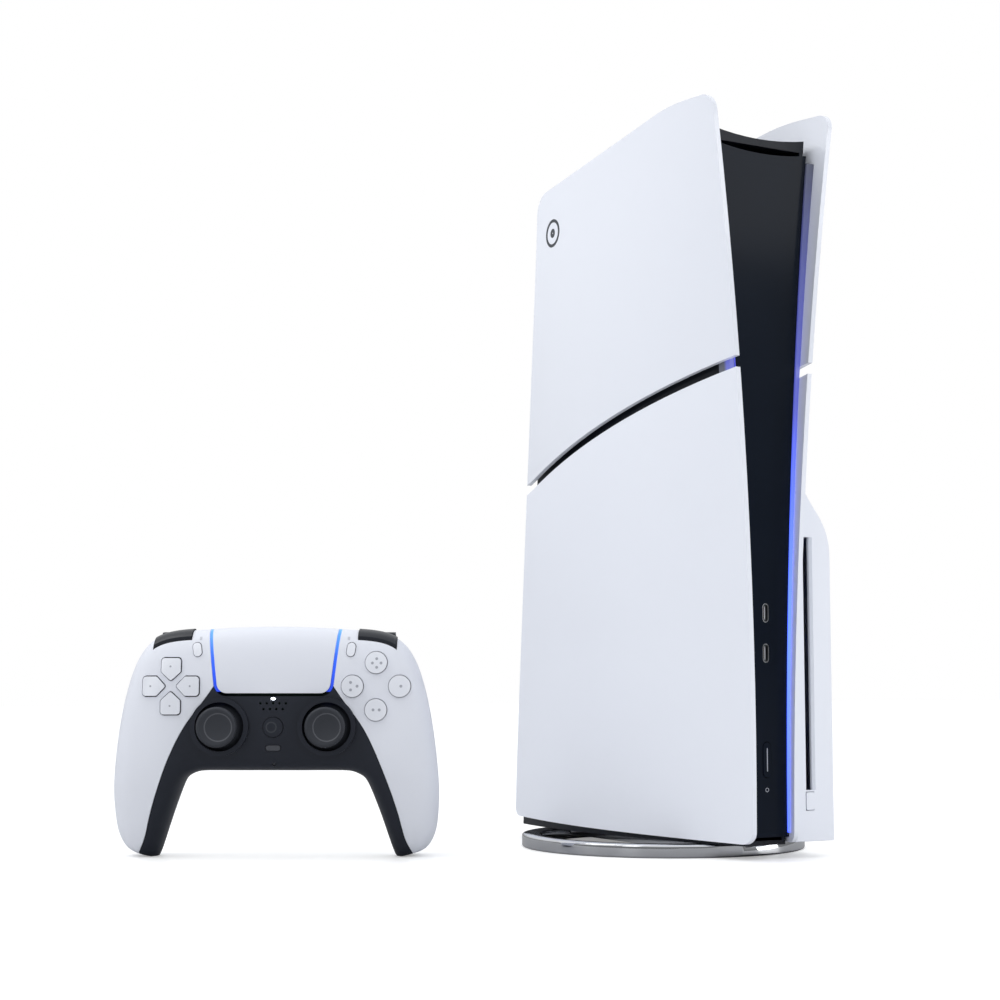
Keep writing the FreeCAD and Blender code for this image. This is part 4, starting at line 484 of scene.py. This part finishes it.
# %% The common part of a tree
def repeating_tree(name, sizes, points_node, points_from, shape_node, shape_from, sides=None):
    """A tree that sets one shape on each point; the dictionaries wire named inputs to node sockets."""
    tree, given, result = new_tree(name, sizes + [("Finish", "Material")])
    points = tree.nodes.new(points_node)
    shape = tree.nodes.new(shape_node)
    if sides is not None:
        shape.inputs["Vertices"].default_value = sides
    scatter = tree.nodes.new("GeometryNodeInstanceOnPoints")
    real = tree.nodes.new("GeometryNodeRealizeInstances")
    paint = tree.nodes.new("GeometryNodeSetMaterial")
    for label, socket in points_from.items():
        link(tree, given.outputs[label], points.inputs[socket])
    for label, socket in shape_from.items():
        link(tree, given.outputs[label], shape.inputs[socket])
    link(tree, points.outputs["Mesh"], scatter.inputs["Points"])
    link(tree, shape.outputs["Mesh"], scatter.inputs["Instance"])
    link(tree, scatter.outputs["Instances"], real.inputs["Geometry"])
    link(tree, real.outputs["Geometry"], paint.inputs["Geometry"])
    link(tree, given.outputs["Finish"], paint.inputs["Material"])
    link(tree, paint.outputs["Geometry"], result.inputs["Geometry"])
    print(name, len(tree.nodes), "nodes")
    return tree


print("tree helper", repeating_tree.__name__)

# %% [markdown]
# ## Rows and rings
# A straight row of blocks makes the printed lines and contacts. A ring of studs makes the knurled stick
# caps and the larger groups of dots. A circle needs at least three points, so one or two dots come from a
# row instead.

# %% The three trees
ALONG_A_LINE = {"Count": "Count", "Step": "Offset", "Start": "Start Location"}
LINE_SIZES = [("Count", "Int"), ("Step", "Vector"), ("Start", "Vector")]
STUD = {"Stud Radius": "Radius", "Stud Height": "Depth"}
STUD_SIZES = [("Stud Radius", "Float"), ("Stud Height", "Float")]
row_tree = repeating_tree("row_of_blocks", LINE_SIZES + [("Size", "Vector")], "GeometryNodeMeshLine",
                          ALONG_A_LINE, "GeometryNodeMeshCube", {"Size": "Size"})
stud_tree = repeating_tree("ring_of_studs", [("Count", "Int"), ("Ring Radius", "Float")] + STUD_SIZES,
                           "GeometryNodeMeshCircle", {"Count": "Vertices", "Ring Radius": "Radius"},
                           "GeometryNodeMeshCylinder", STUD, sides=12)
dot_tree = repeating_tree("row_of_dots", LINE_SIZES + STUD_SIZES, "GeometryNodeMeshLine", ALONG_A_LINE,
                          "GeometryNodeMeshCylinder", STUD, sides=16)
print("trees", row_tree.name, stud_tree.name, dot_tree.name)

# %% [markdown]
# ## Knurled stick caps
# A thumb stick's cap has a fine toothed band round its rim, so that a thumb doesn't slip. The band is a ring
# of thin studs set into the cap's side, so only their outer halves show.

# %% Knurls
KNURLS = 64
KNURL_RING = 9.55 * MM
KNURL_RADIUS = 0.3 * MM
KNURL_LENGTH = 1.6 * MM
KNURL_DEPTH = 2.1 * MM  # from the cap's top to the middle of the band
for side in ("left", "right"):
    cap_node = f"stick_{side}_cap"
    pivot = Vector(joints[f"stick_{side}_tilt_x"]["pos_m"])
    reach = max((v.co - pivot).dot(-inward) for v in nodes[cap_node].data.vertices)
    knurls = bake(stud_tree, f"stick_{side}_knurls", Count=KNURLS, Ring_Radius=KNURL_RING,
                  Stud_Radius=KNURL_RADIUS, Stud_Height=KNURL_LENGTH, Finish=stick_rubber)
    lay(knurls, pivot - inward * (reach - KNURL_DEPTH), sideways, Vector((0, 0, 1)), -inward)
    keep(knurls, body_holding(cap_node), stick_rubber)
print("knurls", KNURLS)

# %% [markdown]
# ## Pips on the action keys
# Each action key carries a printed sign. Plain groups of dots say which is which and belong to nobody: one
# dot on the right, two below, three on the left and four on top. The direction pad gets one small dot on
# each arm. Every dot is pressed on the curved key, so none of them sinks in or floats.

# %% Pips
PRINT = 0.12 * MM  # how high a printed mark stands, much more than real ink so that it survives export
PIP = 0.72 * MM
PIP_RING = 2.1 * MM
PIP_STEP = 3.0 * MM
ARM_PIP = 0.5 * MM
ARM_REACH = 9.6 * MM
for direction, count in {"north": 4, "west": 3}.items():
    group = bake(stud_tree, f"pips_{direction}", Count=count, Ring_Radius=PIP_RING, Stud_Radius=PIP,
                 Stud_Height=PRINT, Finish=icon_grey)
    press_on_pad(group, f"key_{direction}", *middle_of(f"key_{direction}"), icon_grey)
for direction, count in {"south": 2, "east": 1}.items():
    group = bake(dot_tree, f"pips_{direction}", Count=count, Step=(PIP_STEP, 0, 0),
                 Start=(-PIP_STEP * (count - 1) / 2, 0, 0), Stud_Radius=PIP, Stud_Height=PRINT,
                 Finish=icon_grey)
    press_on_pad(group, f"key_{direction}", *middle_of(f"key_{direction}"), icon_grey)
arms = bake(stud_tree, "pips_dpad", Count=4, Ring_Radius=ARM_REACH, Stud_Radius=ARM_PIP,
            Stud_Height=PRINT, Finish=icon_grey)
press_on_pad(arms, "dpad", *middle_of("dpad"), icon_grey)
print("pips on", 5, "keys")

# %% [markdown]
# ## Small printed marks
# The other signs on the object are thin rings and short lines. They are drawn flat with bmesh, with enough
# points along them to follow the surface when they are pressed on it.

# %% Rings and bars
HALF_PRINT = PRINT / 2
BAR_TIP = 0.2  # how wide a bar's very end is, as a share of its width


def ring_mark(name, inner, outer, segments=48):
    """A flat closed ring around the origin."""
    work = bmesh.new()
    loops = []
    corners = ((inner, -HALF_PRINT), (outer, -HALF_PRINT), (outer, HALF_PRINT), (inner, HALF_PRINT))
    for radius, level in corners:
        angles = [2 * math.pi * k / segments for k in range(segments)]
        loops.append([work.verts.new((radius * math.cos(a), radius * math.sin(a), level)) for a in angles])
    for k in range(segments):
        for here, there in zip(loops, loops[1:] + loops[:1]):
            work.faces.new((here[k], here[(k + 1) % segments], there[(k + 1) % segments], there[k]))
    bmesh.ops.recalc_face_normals(work, faces=work.faces)
    mesh = bpy.data.meshes.new(name)
    work.to_mesh(mesh)
    work.free()
    return bpy.data.objects.new(name, mesh)


def bar_mark(name, width, length, rows=24):
    """A flat closed bar along y with round ends."""
    work = bmesh.new()
    half = width / 2
    rings = []
    for k in range(rows + 1):
        y = -length / 2 + length * k / rows
        from_end = min(k, rows - k) * length / rows
        reach = half
        if from_end < half:
            reach = math.sqrt(max(half**2 - (half - from_end)**2, (BAR_TIP * half)**2))
        corners = ((-reach, -HALF_PRINT), (reach, -HALF_PRINT), (reach, HALF_PRINT), (-reach, HALF_PRINT))
        rings.append([work.verts.new((x, y, z)) for x, z in corners])
    for here, there in zip(rings, rings[1:]):
        for k in range(4):
            work.faces.new((here[k], here[(k + 1) % 4], there[(k + 1) % 4], there[k]))
    work.faces.new(rings[0])
    work.faces.new(rings[-1])
    bmesh.ops.recalc_face_normals(work, faces=work.faces)
    mesh = bpy.data.meshes.new(name)
    work.to_mesh(mesh)
    work.free()
    return bpy.data.objects.new(name, mesh)


print("a printed mark stands", PRINT, "off its surface")

# %% [markdown]
# ## Signs on the console
# A round emblem of a ring and a dot is printed high on the left panel, and stands for no maker. A thin line
# shows where to press the power button, with a small ring under it. The glowing line along the strip's left
# edge is a painted gleam: it stands in for the light that the guide behind it throws on the black plastic.

# %% Marks on the console
up = Vector((0, 0, 1))
EMBLEM_BACK = 59.5 * MM  # behind the console's middle
EMBLEM_DROP = 38 * MM  # under the panel's top
EMBLEM_RINGS = {"emblem_ring": (6.2 * MM, 8.0 * MM), "emblem_core": (0.4 * MM, 2.6 * MM)}
panel_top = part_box("panel_left_upper")[1][2]
emblem_place = Vector((0, EMBLEM_BACK, panel_top - EMBLEM_DROP))
for name, (inner, outer) in EMBLEM_RINGS.items():
    emblem = press(ring_mark(name, inner, outer), "panel_left_upper", emblem_place, Vector((0, -1, 0)), up,
                   Vector((1, 0, 0)))
    keep(emblem, body_holding("panel_left_upper"), emblem_grey)

button_low, button_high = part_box("power_button")
button_middle = (button_low[2] + button_high[2]) / 2
LINE_WIDTH, LINE_LENGTH = 0.55 * MM, 11.5 * MM
SIGN_DROP = 4.5 * MM  # under the power button
line = press(bar_mark("power_line", LINE_WIDTH, LINE_LENGTH), "power_button", Vector((0, 0, button_middle)),
             Vector((1, 0, 0)), up, Vector((0, 1, 0)))
keep(line, body_holding("power_button"), icon_grey)
ring = press(ring_mark("power_sign", 0.75 * MM, 1.05 * MM), "front_strip",
             Vector((0, 0, button_low[2] - SIGN_DROP)), Vector((1, 0, 0)), up, Vector((0, 1, 0)))
keep(ring, body_holding("front_strip"), icon_grey)

# The painted gleam is a thin glowing bar pressed on the strip's left edge.
EDGE_LEAN = -0.07  # the strip's left edge moves outwards by this much for each metre of height
EDGE_MIDDLE = Vector((-0.0207, 0, 0.285))
EDGE_WIDTH, EDGE_LENGTH = 0.7 * MM, 95 * MM
edge = press(bar_mark("painted_gleam_line", EDGE_WIDTH, EDGE_LENGTH, rows=48), "front_strip", EDGE_MIDDLE,
             Vector((1, 0, 0)), Vector((EDGE_LEAN, 0, 1)), Vector((0, 1, 0)))
keep(edge, body_holding("front_strip"), painted_edge_gleam)
print("marks on the console", 5)

# %% [markdown]
# ## Signs on the controller
# Three short printed lines stand over the create and options keys. A ring is moulded into the home key, a
# small lamp sits above the dots of the speaker, and each thumb stick shows a paler ring on its cap.

# %% Marks on the controller
LINE_STEP = 0.62 * MM
LINE_SIZE = (1.2 * MM, 0.26 * MM, PRINT)
LINES_INWARDS, LINES_UP = 1.35 * MM, 5.4 * MM  # from the key's middle
LED_UP = 13.8 * MM  # above the home key's middle
LED_STRETCH = 1.7  # it is wider than it is high
for side, node_name in ((-1, "key_create"), (1, "key_options")):
    across, height = middle_of(node_name)
    lines = bake(row_tree, f"lines_{node_name}", Count=3, Step=(0, LINE_STEP, 0), Start=(0, -LINE_STEP, 0),
                 Size=LINE_SIZE, Finish=icon_grey)
    press_on_pad(lines, "shell_front", across - side * LINES_INWARDS, height + LINES_UP, icon_grey)
home_across, home_height = middle_of("key_home")
press_on_pad(ring_mark("home_ring", 2.1 * MM, 2.7 * MM), "key_home", home_across, home_height, emblem_grey)
led = ring_mark("status_led", 0.05 * MM, 0.65 * MM, segments=24)
for vertex in led.data.vertices:
    vertex.co.x *= LED_STRETCH
press_on_pad(led, "trim_plate", 0.0, home_height + LED_UP, status_light)
for side in ("left", "right"):
    cap_node = f"stick_{side}_cap"
    # A paler ring on each cap's top, drawn in that colour.
    paler_ring = ring_mark(f"stick_{side}_ring", 6.3 * MM, 6.9 * MM)
    press_on_pad(paler_ring, cap_node, *middle_of(cap_node), stick_paler_rubber)
print("marks on the controller", 6)

# %% [markdown]
# ## Contacts in the front sockets
# Each small front socket holds a tongue with a row of gilt contacts. They are tiny, but they catch light.

# %% Contacts
SOCKET_HEIGHTS = (119.4 * MM, 99.8 * MM)
CONTACT_STEP = 1.1 * MM
CONTACT_SIZE = (0.08 * MM, 3.2 * MM, 0.5 * MM)
CONTACT_SIDE = -0.37 * MM  # on the tongue's left face
CONTACT_DEPTH = 3.0 * MM  # behind the strip's face
CONTACT_START = 2.2 * MM  # the lowest contact, under the socket's middle
BESIDE_SOCKET = 9 * MM  # the strip's face is felt for this far above a socket's middle
for middle in SOCKET_HEIGHTS:
    front = surface("front_strip", Vector((0, -RAY_START, middle + BESIDE_SOCKET)), Vector((0, 1, 0))).y
    contacts = bake(row_tree, f"contacts_{round(middle * 1000)}", Count=5, Step=(0, 0, CONTACT_STEP),
                    Start=(CONTACT_SIDE, front + CONTACT_DEPTH, middle - CONTACT_START), Size=CONTACT_SIZE,
                    Finish=gilt)
    keep(contacts, body_holding("front_ports"), gilt)
print("contacts", 10)

# %% [markdown]
# ## Floor and lamps
# White things on a white ground are told apart by soft shade alone. The floor is a pale sheet that glows a
# little, but only to the camera, so it stays brighter than the object and throws no extra light on it. In
# mirrors it is darker, so that the black strip and the chrome don't fill with white.

# %% Floor
FLOOR_HALF = 6
PAPER = (0.82, 0.82, 0.82, 1)
PAPER_IN_MIRRORS = (0.30, 0.30, 0.31, 1)
PAPER_GLOW = 0.30
floor_mesh = bpy.data.meshes.new("studio_floor")
floor_corners = [(FLOOR_HALF * x, FLOOR_HALF * y, 0) for x, y in ((-1, -1), (1, -1), (1, 1), (-1, 1))]
floor_mesh.from_pydata(floor_corners, [], [(0, 1, 2, 3)])
floor = bpy.data.objects.new("studio_floor", floor_mesh)
bpy.context.scene.collection.objects.link(floor)
floor_paper = bpy.data.materials.new("floor_paper")
floor_paper.use_nodes = True
paper_shader = floor_paper.node_tree.nodes["Principled BSDF"]
paper_shader.inputs["Roughness"].default_value = 0.45
paper_shader.inputs["Emission Color"].default_value = (1, 1, 1, 1)
eye = floor_paper.node_tree.nodes.new("ShaderNodeLightPath")
paper = floor_paper.node_tree.nodes.new("ShaderNodeMix")
paper.data_type = "RGBA"
paper.inputs["A"].default_value = PAPER
paper.inputs["B"].default_value = PAPER_IN_MIRRORS
link(floor_paper.node_tree, eye.outputs["Is Glossy Ray"], paper.inputs["Factor"])
link(floor_paper.node_tree, paper.outputs["Result"], paper_shader.inputs["Base Color"])
glow = floor_paper.node_tree.nodes.new("ShaderNodeMath")
glow.operation = "MULTIPLY"
glow.inputs[1].default_value = PAPER_GLOW
link(floor_paper.node_tree, eye.outputs["Is Camera Ray"], glow.inputs[0])
link(floor_paper.node_tree, glow.outputs["Value"], paper_shader.inputs["Emission Strength"])
floor_mesh.materials.append(floor_paper)
print("floor half width", FLOOR_HALF)

# %% [markdown]
# ## The room
# The backdrop is seen as pure white, but what lights the object is a softer room: bright overhead and
# darker low down in front, so that the white sides fall off gently and the black strip stays black.

# %% Room light
world = bpy.data.worlds.new("studio_world")
bpy.context.scene.world = world
world.use_nodes = True
room = world.node_tree
background = room.nodes["Background"]
where = room.nodes.new("ShaderNodeTexCoord")
split = room.nodes.new("ShaderNodeSeparateXYZ")
climb = room.nodes.new("ShaderNodeValToRGB")
ROOM = [(0.0, 0.22), (0.10, 0.34), (0.30, 0.80), (1.0, 1.30)]  # share of the height, brightness
ROOM_TINT = (0.97, 0.985, 1)
while len(climb.color_ramp.elements) < len(ROOM):
    climb.color_ramp.elements.new(0.5)
for element, (at, level) in zip(climb.color_ramp.elements, ROOM):
    element.position = at
    element.color = (*(level * share for share in ROOM_TINT), 1)
seen = room.nodes.new("ShaderNodeLightPath")
choose = room.nodes.new("ShaderNodeMix")
choose.data_type = "RGBA"
choose.inputs["B"].default_value = (1, 1, 1, 1)
link(room, where.outputs["Generated"], split.inputs["Vector"])
link(room, split.outputs["Z"], climb.inputs["Fac"])
link(room, seen.outputs["Is Camera Ray"], choose.inputs["Factor"])
link(room, climb.outputs["Color"], choose.inputs["A"])
link(room, choose.outputs["Result"], background.inputs["Color"])
background.inputs["Strength"].default_value = 1.0
bpy.context.scene.view_settings.view_transform = "Standard"
print("room levels", ROOM)


# %% [markdown]
# ## Lamps
# Big soft lamps keep the shadows faint. The one on the left shades the long panel from front to back, the
# near one lifts its upper half, and the one on the right lights the inside of the far panel and the disc
# drive's cover. Two narrow ones pick out the front edge of the left panel and the top of the strip.

# %% Set up the lamps
def lamp(name, place, target, width, height, power):
    """A soft rectangular lamp aimed at a point."""
    data = bpy.data.lights.new(name, "AREA")
    data.shape = "RECTANGLE"
    data.size, data.size_y = width, height
    data.energy = power
    light = bpy.data.objects.new(name, data)
    bpy.context.scene.collection.objects.link(light)
    aim = (Vector(target) - Vector(place)).to_track_quat("-Z", "Y")
    light.matrix_world = Matrix.Translation(place) @ aim.to_matrix().to_4x4()
    light.visible_camera = False


console_middle = (0.0, 0.0, 0.19)
LAMPS = [  # name, place, target, width and height in metres, power in watts
    ("left_lamp", (-1.7, 0.5, 0.8), console_middle, 1.3, 1.3, 2.2),
    ("near_lamp", (-0.50, 0.12, 0.68), (-0.05, 0.0, 0.32), 0.4, 0.4, 1.2),
    ("right_lamp", (1.4, -0.8, 0.4), console_middle, 0.7, 0.8, 7.5),
    ("edge_lamp", (-0.95, -0.55, 0.62), (-0.03, -0.08, 0.26), 0.25, 0.9, 0.8),
    ("brow_lamp", (0.75, -1.35, 0.72), (0.0, -0.09, 0.33), 0.9, 0.22, 1.0),
]
for settings in LAMPS:
    lamp(*settings)
print("lamps", len(LAMPS))
